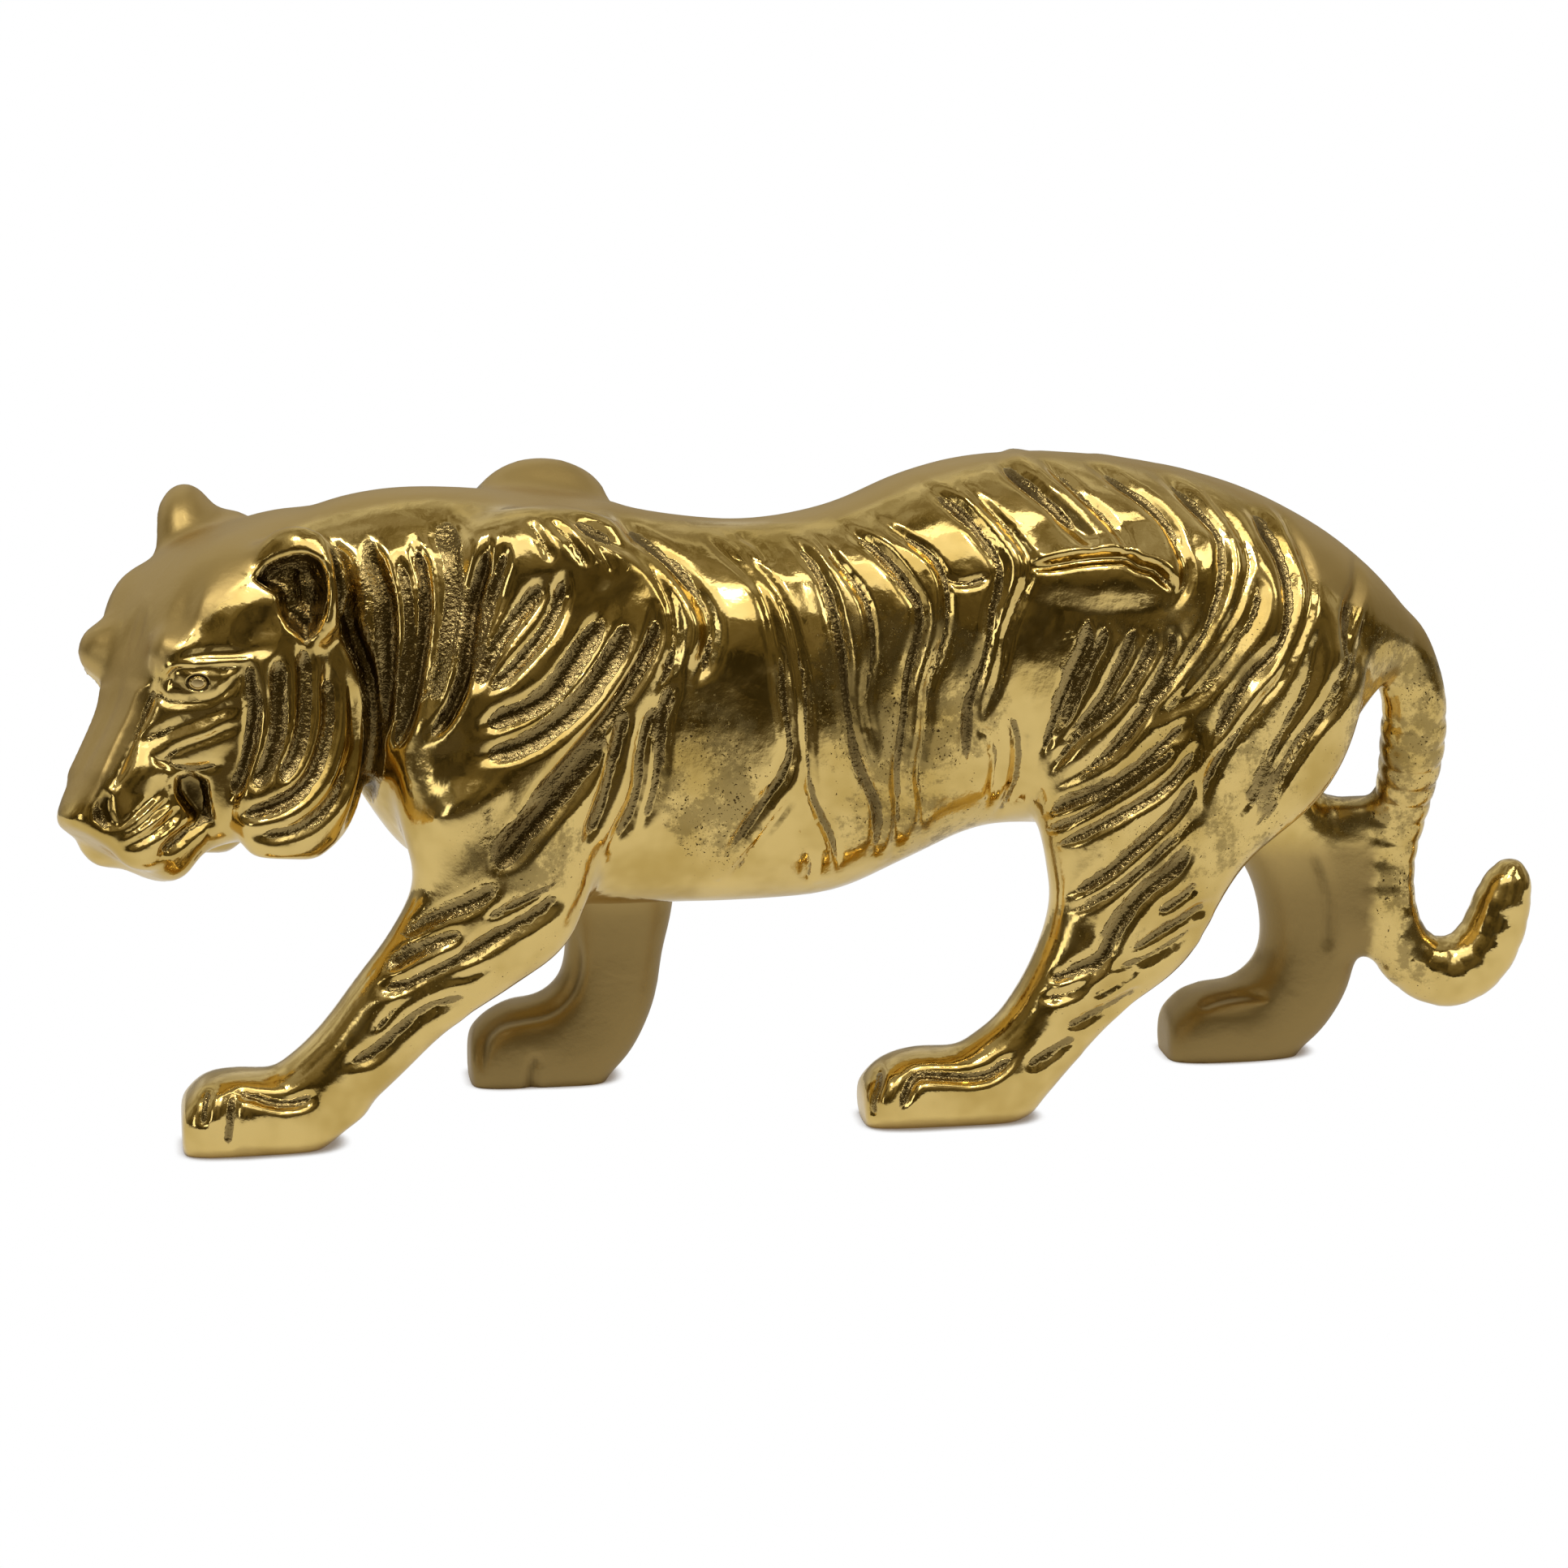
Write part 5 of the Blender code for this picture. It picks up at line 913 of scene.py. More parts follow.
def press(sheet: np.ndarray, cuts: tuple) -> np.ndarray:
    """The height of the pressed strokes at each place on the sheet.

    Args:
        sheet: Places on the tracing sheet.
        cuts: The strokes.

    Returns:
        Below zero in a groove, above zero on a raised lip.
    """
    groove = np.zeros(len(sheet))
    ridge = np.zeros(len(sheet))
    for cut in cuts:
        path = spline(cut.path, 5)
        width = cut.width * CUT_WIDENING
        reach = 8 * width
        inside = np.all((sheet > path.min(0) - reach) & (sheet < path.max(0) + reach), axis=1)
        near = np.flatnonzero(inside)
        if not len(near):
            continue
        span = (path[1:] - path[:-1])[None]
        t, away, far = from_lines(sheet[near], path[None, :-1], span)
        best = np.argmin(far, axis=1)
        row = np.arange(len(near))
        s, d = span[0, best], away[row, best]
        sign = np.sign(s[:, 0] * d[:, 1] - s[:, 1] * d[:, 0])
        along = (best + t[row, best]) / (len(path) - 1)
        ends = ramp(np.minimum(along, 1 - along), -0.03, 0.16)
        u = np.sqrt(far[row, best]) / (width * (0.55 + 0.45 * ends))
        groove[near] = np.maximum(groove[near], cut.depth * ends * np.exp(-u ** cut.floor))
        side = u * sign * (1 if cut.lip >= 0 else -1)
        fall = np.exp(-np.clip(side - 2, 0, None) / LIP_FALL)
        ridge[near] = np.maximum(ridge[near], abs(cut.lip) * ends * ramp(side, 0.4, 2.0) * fall)
    return ridge - groove


def sink(sheet: np.ndarray, hollows: tuple) -> np.ndarray:
    """The depth of the hollows at each place on the sheet, below zero."""
    height = np.zeros(len(sheet))
    for hollow in hollows:
        a = np.array(hollow.outline, float)
        b = np.roll(a, -1, axis=0)
        inside = np.all((sheet > a.min(0) - hollow.wall) & (sheet < a.max(0) + hollow.wall), axis=1)
        near = np.flatnonzero(inside)
        if not len(near):
            continue
        q = sheet[near][:, None]
        away = np.sqrt(np.min(from_lines(sheet[near], a, (b - a)[None])[2], axis=1))
        crossing = (a[:, 1] > q[..., 1]) != (b[:, 1] > q[..., 1])
        rise = np.where(b[:, 1] == a[:, 1], 1, b[:, 1] - a[:, 1])
        left = q[..., 0] < (b[:, 0] - a[:, 0]) * (q[..., 1] - a[:, 1]) / rise + a[:, 0]
        away *= np.where(np.sum(crossing & left, axis=1) % 2 == 1, 1, -1)
        height[near] -= hollow.depth * ramp(away, -hollow.wall / 2, hollow.wall / 2)
    return height


def spot_reach(sheet: np.ndarray, spot: Spot) -> np.ndarray:
    """The square of how far each place is from the spot's centre, 1 on its rim."""
    c, s = math.cos(math.radians(spot.turn)), math.sin(math.radians(spot.turn))
    d = (sheet - spot.centre) @ np.array([[c, -s], [s, c]]) / spot.radii
    return np.sum(d ** 2, axis=1)


def dimple(sheet: np.ndarray, spots: tuple) -> np.ndarray:
    """Height added by the round spots."""
    height = np.zeros(len(sheet))
    for spot in spots:
        height += spot.height * np.clip(1 - spot_reach(sheet, spot), 0, None) ** 1.5
    return height


def patches(sheet: np.ndarray, spots: tuple) -> np.ndarray:
    """How much of the soft-edged spots covers each place on the sheet, from 0 to 1."""
    cover = np.zeros(len(sheet))
    for spot in spots:
        cover = np.maximum(cover, spot.height * (1 - ramp(spot_reach(sheet, spot), 0.35, 1.6)))
    return cover


@dataclass
class Carver:
    """Carves a smooth figure, and notes how each point is finished."""

    points: np.ndarray
    normals: np.ndarray
    head: np.ndarray = field(init=False)
    own: np.ndarray = field(init=False)

    def __post_init__(self) -> None:
        """Finds the points of the head."""
        self.head, self.own = head_share(self.points)

    def mirrored_head(self) -> tuple[np.ndarray, np.ndarray]:
        """The sheet and the facing for the far cheek, which takes the near one mirrored."""
        matrix = np.array(head_matrix())
        turned = self.normals @ np.linalg.inv(matrix[:3, :3]).T * MIRROR @ matrix[:3, :3].T
        return on_sheet((self.own * MIRROR) @ matrix[:3, :3].T + matrix[:3, 3], turned)

    def height(self) -> np.ndarray:
        """How far the folds, the face and the tail's rings move each point along its normal."""
        points, normals, head, own = self.points, self.normals, self.head, self.own
        body_cuts = FLANK + HAUNCH
        sheet, facing = on_sheet(points, normals)
        seen = facing * np.where(head > 0.5, ramp(own[:, 1], -1, 3), 1 - ramp(points[:, 1], 5, 9))
        near_cuts = press(sheet, body_cuts + NEAR_LEGS)
        height = seen * (near_cuts + dimple(sheet, BODY_SLOPES) + self.face(sheet))
        height += seen * sink(sheet, FACE_HOLLOWS + EAR_HOLLOW)
        inner = facing * ramp(points[:, 1], 8, 11) * (1 - ramp(points[:, 2], 50, 58))
        height += inner * press(sheet, FAR_INSIDES)

        sheet, facing = on_sheet(points * MIRROR, normals * MIRROR)
        hidden = facing * (1 - head) * ramp(points[:, 1], 5, 9) * ramp(points[:, 2], 56, 72)
        height += hidden * press(sheet, body_cuts)

        sheet, facing = self.mirrored_head()
        hidden = facing * head * ramp(-own[:, 1], -1, 3)
        height += hidden * self.face(sheet)
        height += hidden * sink(sheet, FACE_HOLLOWS)

        outer = ramp(normals[:, 1], 0.1, 0.45) * ramp(points[:, 1], 12, 18)
        outer *= 1 - ramp(points[:, 0], 128, 132)
        height += outer * press(points[:, (0, 2)], FAR_OUTSIDES)
        return height * CARVING + self.rings() - self.far_cup()

    def face(self, sheet: np.ndarray) -> np.ndarray:
        """The height of the face's strokes, lids and spots at each place on the sheet."""
        return press(sheet, FACE) - press(sheet, LIDS) + dimple(sheet, FACE_SPOTS)

    def far_cup(self) -> np.ndarray:
        """How deep each point lies in the hollow of the far ear."""
        inverse = np.array((head_matrix() @ ball_matrix(FAR_EAR)).inverted())
        q = self.points @ inverse[:3, :3].T + inverse[:3, 3]
        hollow = np.clip(1 - (q[:, 1] ** 2 + q[:, 2] ** 2) / 0.45, 0, None) ** 0.7
        return EAR_CUP * hollow * ramp(q[:, 0], -0.3, 0.4) * (1 - ramp(q[:, 0], 1.6, 2.0))

    def rings(self) -> np.ndarray:
        """The grooves round the tail, spaced along its middle line."""
        points = self.points
        line = spline(TAIL, 8)
        steps = np.linalg.norm(np.diff(line[:, :3], axis=0), axis=1)
        along = np.concatenate([[0], np.cumsum(steps)])
        near = np.flatnonzero((points[:, 0] > 132) & (points[:, 2] < 96))
        away = np.linalg.norm(points[near][:, None] - line[None, :, :3], axis=2)
        best = np.argmin(away, axis=1)
        place = along[best]
        reach = away[np.arange(len(near)), best] / (line[best, 3] * TAIL_RADIUS)
        inside = (1 - ramp(reach, 1.15, 1.35)) * ramp(place, 22, 26)
        inside = inside * (1 - 0.5 * ramp(place, 60, 75))
        phase = np.abs((place / RING_PITCH) % 1 - 0.5) * 2
        height = np.zeros(len(points))
        height[near] = -RING_SHARE * RING_DEPTH * inside * np.exp(-((1 - phase) / 0.34) ** 2)
        return height

    def finish(self) -> dict[str, np.ndarray]:
        """Where the brass is satin, rough from the mould, or pitted, from 0 to 1."""
        points, normals, head, own = self.points, self.normals, self.head, self.own
        line = np.array(SATIN_LINE, float)
        in_head = (head > 0.5)[:, None]
        near_sheet = on_sheet(points, normals)[0]
        far_sheet = on_sheet(points * MIRROR, normals * MIRROR)[0]
        far_sheet = np.where(in_head, self.mirrored_head()[0], far_sheet)
        near_side = np.where(head > 0.5, ramp(own[:, 1], -6, 0), 1 - ramp(points[:, 1], 0, 8))
        sheet = np.where((near_side > 0.5)[:, None], near_sheet, far_sheet)
        above = sheet[:, 1] - np.interp(sheet[:, 0], line[:, 0], line[:, 1])
        front = (sheet[:, 0] < -144) & (sheet[:, 1] > 69)
        bridge = np.interp(sheet[:, 1], (68, 82, 97), (-157, -148, -144)) - sheet[:, 0]
        above = np.where(front, bridge, above)
        satin = ramp(above, -0.6, 0.9) * ramp(sheet[:, 1], 66, 70)
        inner_leg = ramp(points[:, 1], 6, 9) * ramp(-normals[:, 1], -0.4, 0.1)
        inner_leg *= 1 - ramp(points[:, 2], 48, 56)
        satin = np.maximum(satin, inner_leg * (1 - ramp(points[:, 0], 136, 138)))
        rough = patches(sheet, ROUGH) * (1 - satin) - patches(sheet, BRIGHT)
        return {"satin": satin, "rough": rough, "pitted": patches(sheet, PITTED) * (1 - satin)}


@dataclass
class Tiger:
    """The one piece of the object: a closed brass skin with its carving and its finish."""

    name: str = "tiger_casting"
    obj: bpy.types.Object = field(init=False)

    def bake(self) -> None:
        """Applies the object's modifiers."""
        bpy.context.view_layer.update()
        graph = bpy.context.evaluated_depsgraph_get()
        mesh = bpy.data.meshes.new_from_object(self.obj.evaluated_get(graph))
        old = self.obj.data
        self.obj.modifiers.clear()
        self.obj.data = mesh
        bpy.data.meshes.remove(old)

    def fuse(self, voxel: float) -> None:
        """Fuses what overlaps into one closed skin of that voxel size."""
        remesh = self.obj.modifiers.new("fuse", "REMESH")
        remesh.mode = "VOXEL"
        remesh.voxel_size = voxel
        self.bake()

    def thin_out(self) -> None:
        """Brings the mesh down to its triangle count."""
        count = sum(len(p.vertices) - 2 for p in self.obj.data.polygons)
        collapse = self.obj.modifiers.new("thin_out", "DECIMATE")
        collapse.ratio = min(1.0, TRIANGLES / count)
        collapse.use_collapse_triangulate = True
        self.bake()

    def cut_soles(self) -> None:
        """Cuts the paws flat on the ground."""
        bm = bmesh.new()
        bm.from_mesh(self.obj.data)
        geometry = bm.verts[:] + bm.edges[:] + bm.faces[:]
        cut = bmesh.ops.bisect_plane(bm, geom=geometry, plane_co=(0, 0, 0), plane_no=(0, 0, 1),
                                     clear_inner=True)
        rims = [e for e in cut["geom_cut"] if isinstance(e, bmesh.types.BMEdge)]
        bmesh.ops.triangle_fill(bm, use_beauty=True, edges=rims, normal=(0, 0, -1))
        bmesh.ops.recalc_face_normals(bm, faces=bm.faces)
        bm.to_mesh(self.obj.data)
        bm.free()

    def note(self, source: np.ndarray, masks: dict[str, np.ndarray]) -> None:
        """Puts each mask on the mesh as an attribute, read from the nearest source point."""
        tree = KDTree(len(source))
        for index, point in enumerate(source):
            tree.insert(point, index)
        tree.balance()
        mesh = self.obj.data
        nearest = np.array([tree.find(v.co)[1] for v in mesh.vertices])
        for name, mask in masks.items():
            attribute = mesh.attributes.new(name, "FLOAT", "POINT")
            attribute.data.foreach_set("value", mask[nearest].astype(np.float32))

    def settle(self) -> None:
        """Brings the drawing to the frame's place and size."""
        surface = Surface(self.obj.data)
        surface.points -= DRAWN_MIDDLE
        surface.points *= np.array([LENGTH, WIDTH, HEIGHT]) / DRAWN_SIZE
        surface.store()

    def build(self) -> bpy.types.Object:
        """Makes the casting.

        Returns:
            The object, placed in the frame.
        """
        self.obj = bpy.data.objects.new(self.name, Forms().mesh())
        bpy.context.scene.collection.objects.link(self.obj)
        self.fuse(COARSE_VOXEL)
        surface = Surface(self.obj.data)
        surface.smooth(2)
        surface.fill(CREASE_PASSES, 1 - HEAD_CREASES_KEPT * head_share(surface.points)[0])
        surface.smooth(4)
        surface.store()
        self.fuse(FINE_VOXEL * (1))
        surface = Surface(self.obj.data)
        surface.smooth(9)
        carver = Carver(surface.points.copy(), surface.normals())
        height = carver.height()
        masks = carver.finish()
        masks["height"] = height
        surface.points += height[:, None] * carver.normals
        surface.smooth(2)
        surface.store()
        carved = surface.points.copy()
        log.info("carved %d points", len(carved))
        self.thin_out()
        self.note(carved, masks)
        self.cut_soles()
        self.settle()
        self.obj.data.shade_smooth()
        return self.obj


class Graph:
    """Adds nodes to a node tree and joins them up."""

    def __init__(self, tree: bpy.types.NodeTree) -> None:
        """Starts at the first column of the tree."""
        self.tree = tree
        self.column = 0

    def node(self, kind: str, inputs: dict | None = None, **settings: object) -> bpy.types.Node:
        """Adds a node, with its settings and what goes into its sockets."""
        node = self.tree.nodes.new(kind)
        node.location = (200 * (self.column // 4), -220 * (self.column % 4))
        self.column += 1
        for key, value in settings.items():
            setattr(node, key, value)
        for key, value in (inputs or {}).items():
            self.feed(node.inputs[key], value)
        return node

    def feed(self, socket: bpy.types.NodeSocket, value: object) -> None:
        """Links an output to the socket, or sets the socket's own value."""
        if isinstance(value, bpy.types.NodeSocket):
            self.tree.links.new(value, socket)
        else:
            socket.default_value = value

    def math(self, operation: str, *values: object, clamp: bool = False) -> bpy.types.NodeSocket:
        """Adds a Math node."""
        inputs = dict(enumerate(values))
        node = self.node("ShaderNodeMath", inputs, operation=operation, use_clamp=clamp)
        return node.outputs[0]

    def vector(self, operation: str, *values: object) -> bpy.types.Node:
        """Adds a Vector Math node."""
        return self.node("ShaderNodeVectorMath", dict(enumerate(values)), operation=operation)

    def rise(self, value: object, low: float, high: float, bottom: object = 0.0,
             top: object = 1.0) -> bpy.types.NodeSocket:
        """Goes smoothly from bottom at low to top at high."""
        node = self.node("ShaderNodeMapRange", {"Value": value, "From Min": low, "From Max": high,
                                                "To Min": bottom, "To Max": top},
                         interpolation_type="SMOOTHSTEP")
        return node.outputs["Result"]

    def blend(self, share: object, first: object, second: object) -> bpy.types.NodeSocket:
        """Mixes two colours."""
        node = self.node("ShaderNodeMix", data_type="RGBA")
        self.feed(node.inputs[0], share)
        self.feed(node.inputs[6], first)
        self.feed(node.inputs[7], second)
        return node.outputs[2]

    def between(self, share: object, first: object, second: object) -> bpy.types.NodeSocket:
        """Mixes two numbers."""
        node = self.node("ShaderNodeMix", data_type="FLOAT")
        self.feed(node.inputs[0], share)
        self.feed(node.inputs[2], first)
        self.feed(node.inputs[3], second)
        return node.outputs[0]

    def noise(self, place: object, scale: float, detail: float = 2.0, rough: float = 0.5,
              twist: float = 0.0) -> bpy.types.NodeSocket:
        """Adds a noise texture and gives its value."""
        node = self.node("ShaderNodeTexNoise", {"Vector": place, "Scale": scale, "Detail": detail,
                                                "Roughness": rough, "Distortion": twist})
        return node.outputs[0]

    def attribute(self, name: str) -> bpy.types.NodeSocket:
        """Reads a mask from the mesh."""
        return self.node("ShaderNodeAttribute", attribute_name=name).outputs["Fac"]


@dataclass(frozen=True)
class BrassFinish:
    """The colours and the roughness of the brass."""

    polished: tuple[float, float, float, float] = (0.80, 0.60, 0.225, 1.0)
    aged: tuple[float, float, float, float] = (0.60, 0.425, 0.125, 1.0)
    satin: tuple[float, float, float, float] = (0.62, 0.45, 0.168, 1.0)
    # Darker satin for the low parts, painted shade under the body
    inner: tuple[float, float, float, float] = (0.36, 0.255, 0.097, 1.0)
    dull: tuple[float, float, float, float] = (0.36, 0.265, 0.105, 1.0)
    # Pale brass on the pupils, a painted reflection
    pupil: tuple[float, float, float, float] = (0.95, 0.74, 0.36, 1.0)
    # Dark brown for real stains and pits, also used as painted shade in the deep grooves and in the
    # ring round each iris
    stain_and_shade: tuple[float, float, float, float] = (0.10, 0.066, 0.022, 1.0)
    satin_rough: float = 0.44
    cast_rough: float = 0.18


def value_group(name: str, inputs: dict[str, float],
                make: Callable[[Graph, bpy.types.Node], bpy.types.NodeSocket],
                ) -> bpy.types.NodeTree:
    """Makes a node group that takes a place and some numbers, and gives one number.

    Args:
        name: The group's name.
        inputs: Names and default values of the number sockets.
        make: Given the graph and the group's input node, returns the output socket.

    Returns:
        The node group.
    """
    tree = bpy.data.node_groups.new(name, "ShaderNodeTree")
    tree.interface.new_socket("Place", in_out="INPUT", socket_type="NodeSocketVector")
    for key, value in inputs.items():
        socket = tree.interface.new_socket(key, in_out="INPUT", socket_type="NodeSocketFloat")
        socket.default_value = value
    tree.interface.new_socket("Value", in_out="OUTPUT", socket_type="NodeSocketFloat")
    graph = Graph(tree)
    source = graph.node("NodeGroupInput")
    graph.node("NodeGroupOutput", {"Value": make(graph, source)})
    return tree


def cast_grain(graph: Graph, source: bpy.types.Node) -> bpy.types.NodeSocket:
    """The sandy skin of the mould, in millimetres of height."""
    place = source.outputs["Place"]
    sand = graph.noise(place, 1100, 2, 0.6)
    coarse = graph.noise(place, 420, 2, 0.5)
    return graph.math("MULTIPLY", graph.math("ADD", sand, coarse), source.outputs["Height"])


def hand_polish(graph: Graph, source: bpy.types.Node) -> bpy.types.NodeSocket:
    """The uneven face that polishing by hand leaves, in millimetres of height."""
    place = source.outputs["Place"]
    broad = graph.math("MULTIPLY", graph.noise(place, 90, 2, 0.45, 0.6), source.outputs["Broad"])
    small = graph.math("MULTIPLY", graph.noise(place, 330, 3, 0.55), source.outputs["Small"])
    return graph.math("ADD", broad, small)


def pit_field(graph: Graph, source: bpy.types.Node) -> bpy.types.NodeSocket:
    """1 in the small pits of the casting."""
    place = source.outputs["Place"]
    fine = graph.noise(place, 1500, 2, 0.6)
    clusters = graph.noise(place, 160, 3, 0.6)
    amount = graph.math("MULTIPLY", clusters, source.outputs["Amount"])
    level = graph.math("MULTIPLY_ADD", amount, -0.42, 0.84)
    return graph.rise(graph.math("SUBTRACT", fine, level), 0.0, 0.06)


def iris_field(graph: Graph, source: bpy.types.Node) -> bpy.types.NodeSocket:
    """Minus 1 in the ring round each iris, which takes painted shade, and 1 on the pupil, which
    takes a painted pale reflection.
    """
    reach = None
    for middle in IRISES:
        away = graph.vector("SUBTRACT", source.outputs["Place"], middle)
        squat = graph.vector("MULTIPLY", away.outputs[0], (1, 1, 1.3))
        length = graph.vector("LENGTH", squat.outputs[0]).outputs["Value"]
        reach = length if reach is None else graph.math("MINIMUM", reach, length)
    pupil = graph.rise(reach, 0.0017, 0.0013)
    inner, outer = graph.rise(reach, 0.0018, 0.0021), graph.rise(reach, 0.0028, 0.0024)
    return graph.math("SUBTRACT", pupil, graph.math("MULTIPLY", inner, outer))


class BrassMaterial:
    """Polished brass with satin bands, rough grooves and pits, with painted shade in the deep
    grooves, round the irises and low on the satin, and painted pale pupils, all from nodes.
    """

    def __init__(self, finish: BrassFinish) -> None:
        """Makes the node groups that the material uses."""
        self.finish = finish
        self.grain = value_group("cast_grain", {"Height": 1.0}, cast_grain)
        self.polish = value_group("hand_polish", {"Broad": 1.0, "Small": 1.0}, hand_polish)
        self.pits = value_group("pit_field", {"Amount": 1.0}, pit_field)
        self.iris = value_group("iris_field", {}, iris_field)

    def build(self) -> bpy.types.Material:
        """Makes the material."""
        finish = self.finish
        material = bpy.data.materials.new("polished_brass")
        material.use_nodes = True
        tree = material.node_tree
        shader = tree.nodes["Principled BSDF"]
        graph = Graph(tree)
        place = graph.node("ShaderNodeTexCoord").outputs["Object"]
        height = graph.attribute("height")
        satin = graph.attribute("satin")
        rough = graph.attribute("rough")
        pitted = graph.attribute("pitted")

        cut = graph.math("MULTIPLY", graph.rise(height, -0.2, -1.0),
                         graph.rise(rough, -1.0, 0.5, 0.1, 1.0))
        ragged = graph.noise(place, 240, 4, 0.65)
        low = graph.rise(height, 0.25, -0.35)
        open_rough = graph.math("MULTIPLY", rough, low)
        torn = graph.math("ADD", graph.math("MAXIMUM", cut, open_rough), ragged)
        edge = graph.rise(torn, 0.85, 1.15)
        cast = graph.math("MULTIPLY", edge, graph.math("SUBTRACT", 1.0, satin))
        pits = graph.node("ShaderNodeGroup", node_tree=self.pits)
        graph.feed(pits.inputs["Place"], place)
        graph.feed(pits.inputs["Amount"], pitted)
        pit = pits.outputs["Value"]

        iris = graph.node("ShaderNodeGroup", node_tree=self.iris)
        graph.feed(iris.inputs["Place"], place)
        iris = iris.outputs["Value"]
        ring, pupil = graph.rise(iris, 0.0, -1.0), graph.rise(iris, 0.0, 1.0)

        tint = graph.noise(place, 45, 3, 0.6)
        polished = graph.blend(graph.rise(tint, 0.4, 0.7), finish.polished, finish.aged)
        above = graph.node("ShaderNodeSeparateXYZ", {0: place}).outputs["Z"]
        # Painted shade: below about 6 cm the satin colour darkens toward the floor
        low_painted_shade = graph.rise(above, 0.06, 0.035)
        color = graph.blend(satin, polished, graph.blend(low_painted_shade, finish.satin, finish.inner))
        color = graph.blend(cast, color, finish.dull)
        patchy = graph.math("MULTIPLY", graph.noise(place, 75, 8, 0.78),
                            graph.math("ADD", pitted, 0.55))
        grime = graph.rise(patchy, 0.66, 0.8, 0.0, 0.5)
        color = graph.blend(grime, color, finish.stain_and_shade)
        # Partly patina in the hollows, partly painted shade: the deeper a groove, the more it takes
        # the dark stain colour
        deep = graph.math("MULTIPLY", graph.rise(height, -0.55, -1.8), 0.75)
        color = graph.blend(deep, color, finish.stain_and_shade)
        # The pits take the dark stain colour; the ring round each iris is painted shade for a
        # groove too fine for the mesh
        color = graph.blend(graph.math("MAXIMUM", pit, ring), color, finish.stain_and_shade)
        # Painted reflection: the pupils take a pale brass colour
        color = graph.blend(pupil, color, finish.pupil)
        graph.feed(shader.inputs["Base Color"], color)

        shine = graph.noise(place, 120, 3, 0.6)
        base = graph.between(satin, graph.rise(shine, 0.3, 0.75, 0.08, 0.2), finish.satin_rough)
        base = graph.between(grime, graph.between(cast, base, finish.cast_rough), 0.4)
        base = graph.between(pupil, graph.between(pit, base, 0.7), 0.35)
        graph.feed(shader.inputs["Roughness"], base)
        shader.inputs["Metallic"].default_value = 1.0

        polish = graph.node("ShaderNodeGroup", node_tree=self.polish)
        graph.feed(polish.inputs["Place"], place)
        polish.inputs["Broad"].default_value = 0.30
        graph.feed(polish.inputs["Small"], graph.between(satin, 0.075, 0.02))
        grain = graph.node("ShaderNodeGroup", node_tree=self.grain)
        graph.feed(grain.inputs["Place"], place)
        sandy = graph.between(cast, graph.between(satin, 0.006, 0.035), 0.23)
        graph.feed(grain.inputs["Height"], sandy)
        bump = graph.math("ADD", polish.outputs["Value"], grain.outputs["Value"])
        bump = graph.math("SUBTRACT", bump, graph.math("MULTIPLY", pit, 0.12))
        bump = graph.math("MULTIPLY_ADD", iris, 0.25, bump)
        relief = graph.node("ShaderNodeBump", {"Height": bump, "Strength": 1.0, "Distance": 0.001})
        graph.feed(shader.inputs["Normal"], relief.outputs["Normal"])
        return material


def white_share(graph: Graph, mirrored: bpy.types.NodeSocket) -> bpy.types.NodeSocket:
    """How much of the plain white a ray sees.

    Args:
        graph: The graph of the floor or the world.
        mirrored: The share of it that the brass mirrors.

    Returns:
        1 for the camera and through glass, the given share in the metal, 0 for other light.
    """
    ray = graph.node("ShaderNodeLightPath").outputs
    direct = graph.math("MAXIMUM", ray["Is Camera Ray"], ray["Is Transmission Ray"])
    return graph.math("MAXIMUM", direct, graph.math("MULTIPLY", ray["Is Glossy Ray"], mirrored))


# Each soft box: its name, its place, how far aside of the middle it aims, its size and its power
SOFT_BOXES = (
    ("front_box", (-0.12, -0.75, 0.85), 0, (0.95, 0.4), 1.45),
    ("top_box", (0.15, -0.5, 1.1), 0, (0.9, 0.16), 1.0),
    ("front_lamp", (0.12, -0.62, 0.95), 0, (0.1, 0.1), 1.0),
    ("left_lamp", (-0.5, -0.5, 0.95), -0.1, (0.12, 0.12), 1.0),
    ("right_box", (0.85, -0.5, 0.8), 0.05, (0.3, 0.4), 0.9),
    ("left_box", (-1.05, -0.6, 0.25), -0.1, (0.25, 0.4), 0.6),
)
AIM_HEIGHT = 0.08


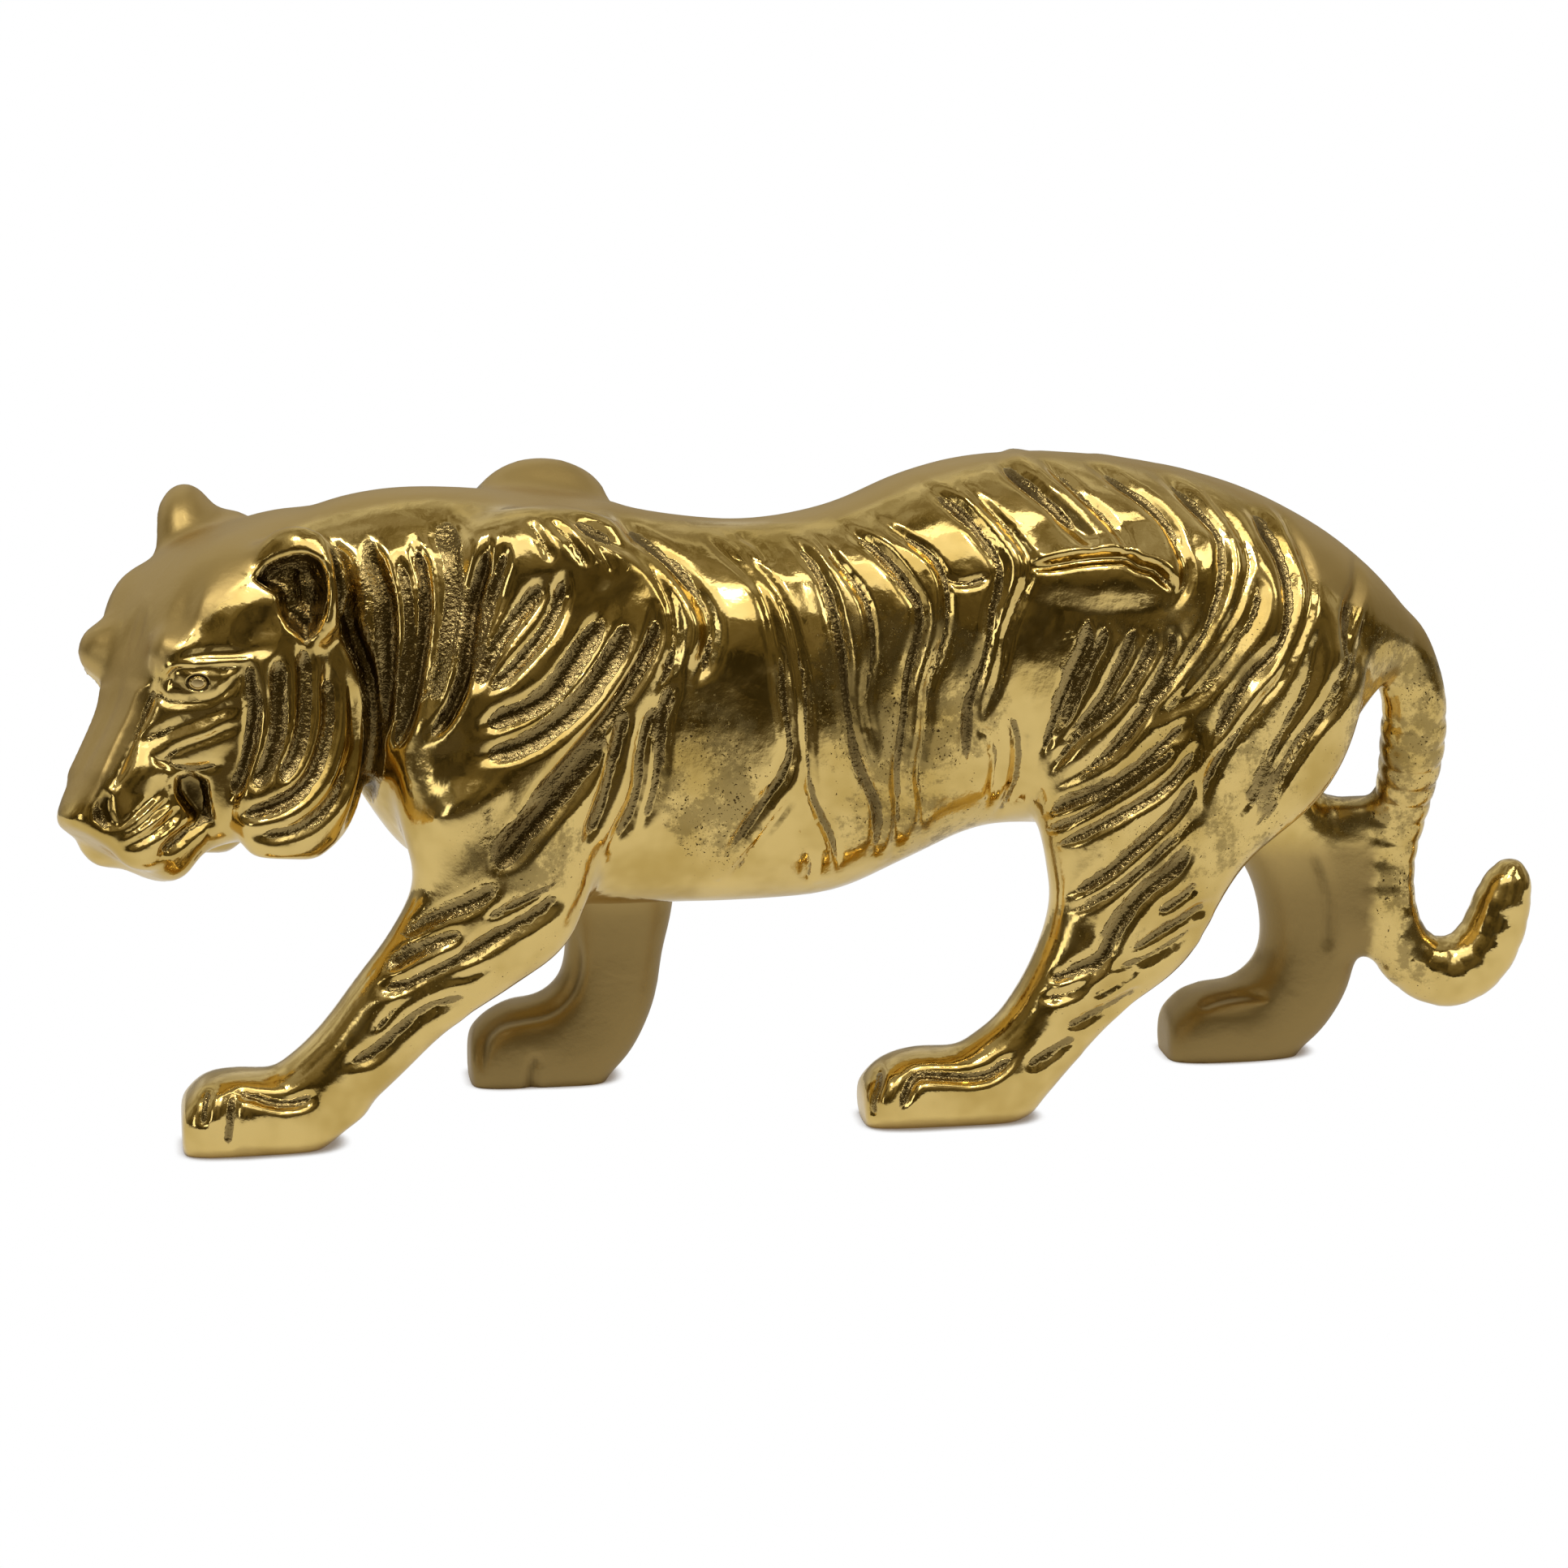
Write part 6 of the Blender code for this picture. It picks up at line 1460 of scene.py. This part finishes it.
@dataclass
class Studio:
    """The pale table, the white surroundings, the lights and the camera."""

    table_width: float = 1.5
    table_depth: float = 1.1

    def floor(self) -> bpy.types.Object:
        """A pale table top, plain white to the camera but for the thin shade under the paws, and to
        the brass a painted pool of light that fades from pale near the figure to dark farther off.
        """
        bm = bmesh.new()
        bmesh.ops.create_grid(bm, x_segments=1, y_segments=1, size=0.5)
        bmesh.ops.scale(bm, vec=(self.table_width, self.table_depth, 1), verts=bm.verts)
        mesh = bpy.data.meshes.new("table_top")
        bm.to_mesh(mesh)
        bm.free()
        table = bpy.data.objects.new("table_top", mesh)
        bpy.context.scene.collection.objects.link(table)

        material = bpy.data.materials.new("white_table")
        material.use_nodes = True
        tree = material.node_tree
        tree.nodes.clear()
        graph = Graph(tree)
        near = graph.node("ShaderNodeAmbientOcclusion", {"Distance": 0.004}, samples=8)
        open_air = graph.rise(near.outputs["AO"], 0.25, 0.75)
        seen = graph.blend(open_air, (0.25, 0.2, 0.15, 1), (1, 1, 1, 1))
        white = graph.node("ShaderNodeEmission", {"Color": seen, "Strength": 1.0})
        spot = graph.node("ShaderNodeTexCoord").outputs["Object"]
        place = graph.node("ShaderNodeSeparateXYZ", {0: spot})
        aside = graph.math("MULTIPLY", graph.math("MAXIMUM", place.outputs["X"], -0.05), 1.5)
        reach = graph.math("ADD", graph.math("MULTIPLY", place.outputs["Y"], -1.0),
                           graph.math("MULTIPLY", aside, -1.0))
        # Painted pool of light: the paper's colour and its mirrored white share fade from pale near
        # the figure to dark farther off
        sheet = graph.blend(graph.rise(reach, 0.14, 0.34),
                            (0.86, 0.84, 0.8, 1), (0.12, 0.1, 0.065, 1))
        paper = graph.node("ShaderNodeBsdfDiffuse", {"Color": sheet})
        mirrored = graph.rise(reach, 0.14, 0.34, 0.5, 0.0)
        mix = graph.node("ShaderNodeMixShader", {0: white_share(graph, mirrored)})
        graph.feed(mix.inputs[1], paper.outputs[0])
        graph.feed(mix.inputs[2], white.outputs[0])
        graph.node("ShaderNodeOutputMaterial", {"Surface": mix.outputs[0]})
        mesh.materials.append(material)
        return table

    def world(self) -> None:
        """White to the camera, and a dim room with a pale ceiling to the brass."""
        world = bpy.data.worlds.new("studio")
        world.use_nodes = True
        bpy.context.scene.world = world
        tree = world.node_tree
        tree.nodes.clear()
        graph = Graph(tree)
        way = graph.node("ShaderNodeTexCoord").outputs["Generated"]
        axes = graph.node("ShaderNodeSeparateXYZ", {0: way})
        up, back = axes.outputs["Z"], axes.outputs["Y"]
        blot = graph.noise(way, 3.2, 3, 0.55)
        front = graph.rise(up, 0.1, 0.75, 0.07, 0.24)
        rear = graph.rise(up, -0.05, 0.4, 0.08, 0.42)
        level = graph.between(graph.rise(back, -0.25, 0.45), front, rear)
        level = graph.math("MULTIPLY", level, graph.rise(blot, 0.35, 0.65, 0.45, 1.5))
        tone = graph.blend(graph.rise(level, 0.05, 0.5), (1.0, 0.76, 0.32, 1), (1.0, 0.97, 0.93, 1))
        room = graph.node("ShaderNodeBackground", {"Color": tone, "Strength": level})
        white = graph.node("ShaderNodeBackground", {"Color": (1, 1, 1, 1), "Strength": 1.0})
        mirrored = graph.rise(back, 0.0, 0.6, 0.0, 0.2)
        mix = graph.node("ShaderNodeMixShader", {0: white_share(graph, mirrored)})
        graph.feed(mix.inputs[1], room.outputs[0])
        graph.feed(mix.inputs[2], white.outputs[0])
        graph.node("ShaderNodeOutputWorld", {"Surface": mix.outputs[0]})

    def light(self, name: str, place: tuple, aim: tuple, size: tuple, power: float,
              color: tuple = (1.0, 0.98, 0.95)) -> None:
        """Hangs one soft box.

        Args:
            name: The light's name.
            place: Where it hangs, in metres.
            aim: The point that it is turned to.
            size: Its width and height.
            power: Its power in watts.
            color: Its colour.
        """
        lamp = bpy.data.lights.new(name, "AREA")
        lamp.shape = "RECTANGLE"
        lamp.size, lamp.size_y = size
        lamp.energy = power
        lamp.color = color
        holder = bpy.data.objects.new(name, lamp)
        holder.location = place
        way = Vector(aim) - Vector(place)
        holder.rotation_mode = "QUATERNION"
        holder.rotation_quaternion = way.to_track_quat("-Z", "Y")
        bpy.context.scene.collection.objects.link(holder)

    def lights(self) -> None:
        """Hangs the soft boxes."""
        for name, place, aside, size, power in SOFT_BOXES:
            self.light(name, place, (aside, 0, AIM_HEIGHT), size, power)

    def camera(self) -> None:
        """Looks a little down and toward the tail's side, as in the photograph."""
        _, forward, _, _ = eye_axes()
        way = Vector(forward)
        scale = LENGTH / DRAWN_SIZE[0]
        target = (EYE_TARGET - Vector(DRAWN_MIDDLE)) * scale
        lens = bpy.data.cameras.new("camera")
        lens.sensor_width = SENSOR_WIDTH
        lens.lens = SENSOR_WIDTH * EYE_DISTANCE / (PICTURE_WIDTH / PICTURE_SCALE)
        lens.shift_x = (PICTURE_WIDTH / 2 - PICTURE_COLUMN) / PICTURE_WIDTH
        holder = bpy.data.objects.new("camera", lens)
        holder.location = target - way * EYE_DISTANCE * scale
        holder.rotation_mode = "QUATERNION"
        holder.rotation_quaternion = way.to_track_quat("-Z", "Y")
        bpy.context.scene.collection.objects.link(holder)
        bpy.context.scene.camera = holder

    def build(self) -> None:
        """Sets up the whole studio."""
        self.floor()
        self.world()
        self.lights()
        self.camera()
        bpy.context.scene.view_settings.view_transform = "Standard"


def main() -> None:
    """Loads the frame, dresses it, and lights it."""
    logging.basicConfig(level=logging.INFO, format="%(name)s: %(message)s")
    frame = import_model()
    log.info("frame has %d node(s)", len(frame["nodes"]))

    tiger = Tiger().build()
    tiger.data.materials.append(BrassMaterial(BrassFinish()).build())
    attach(tiger, "root")
    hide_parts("tiger")
    Studio().build()


if __name__ == "__main__":
    main()
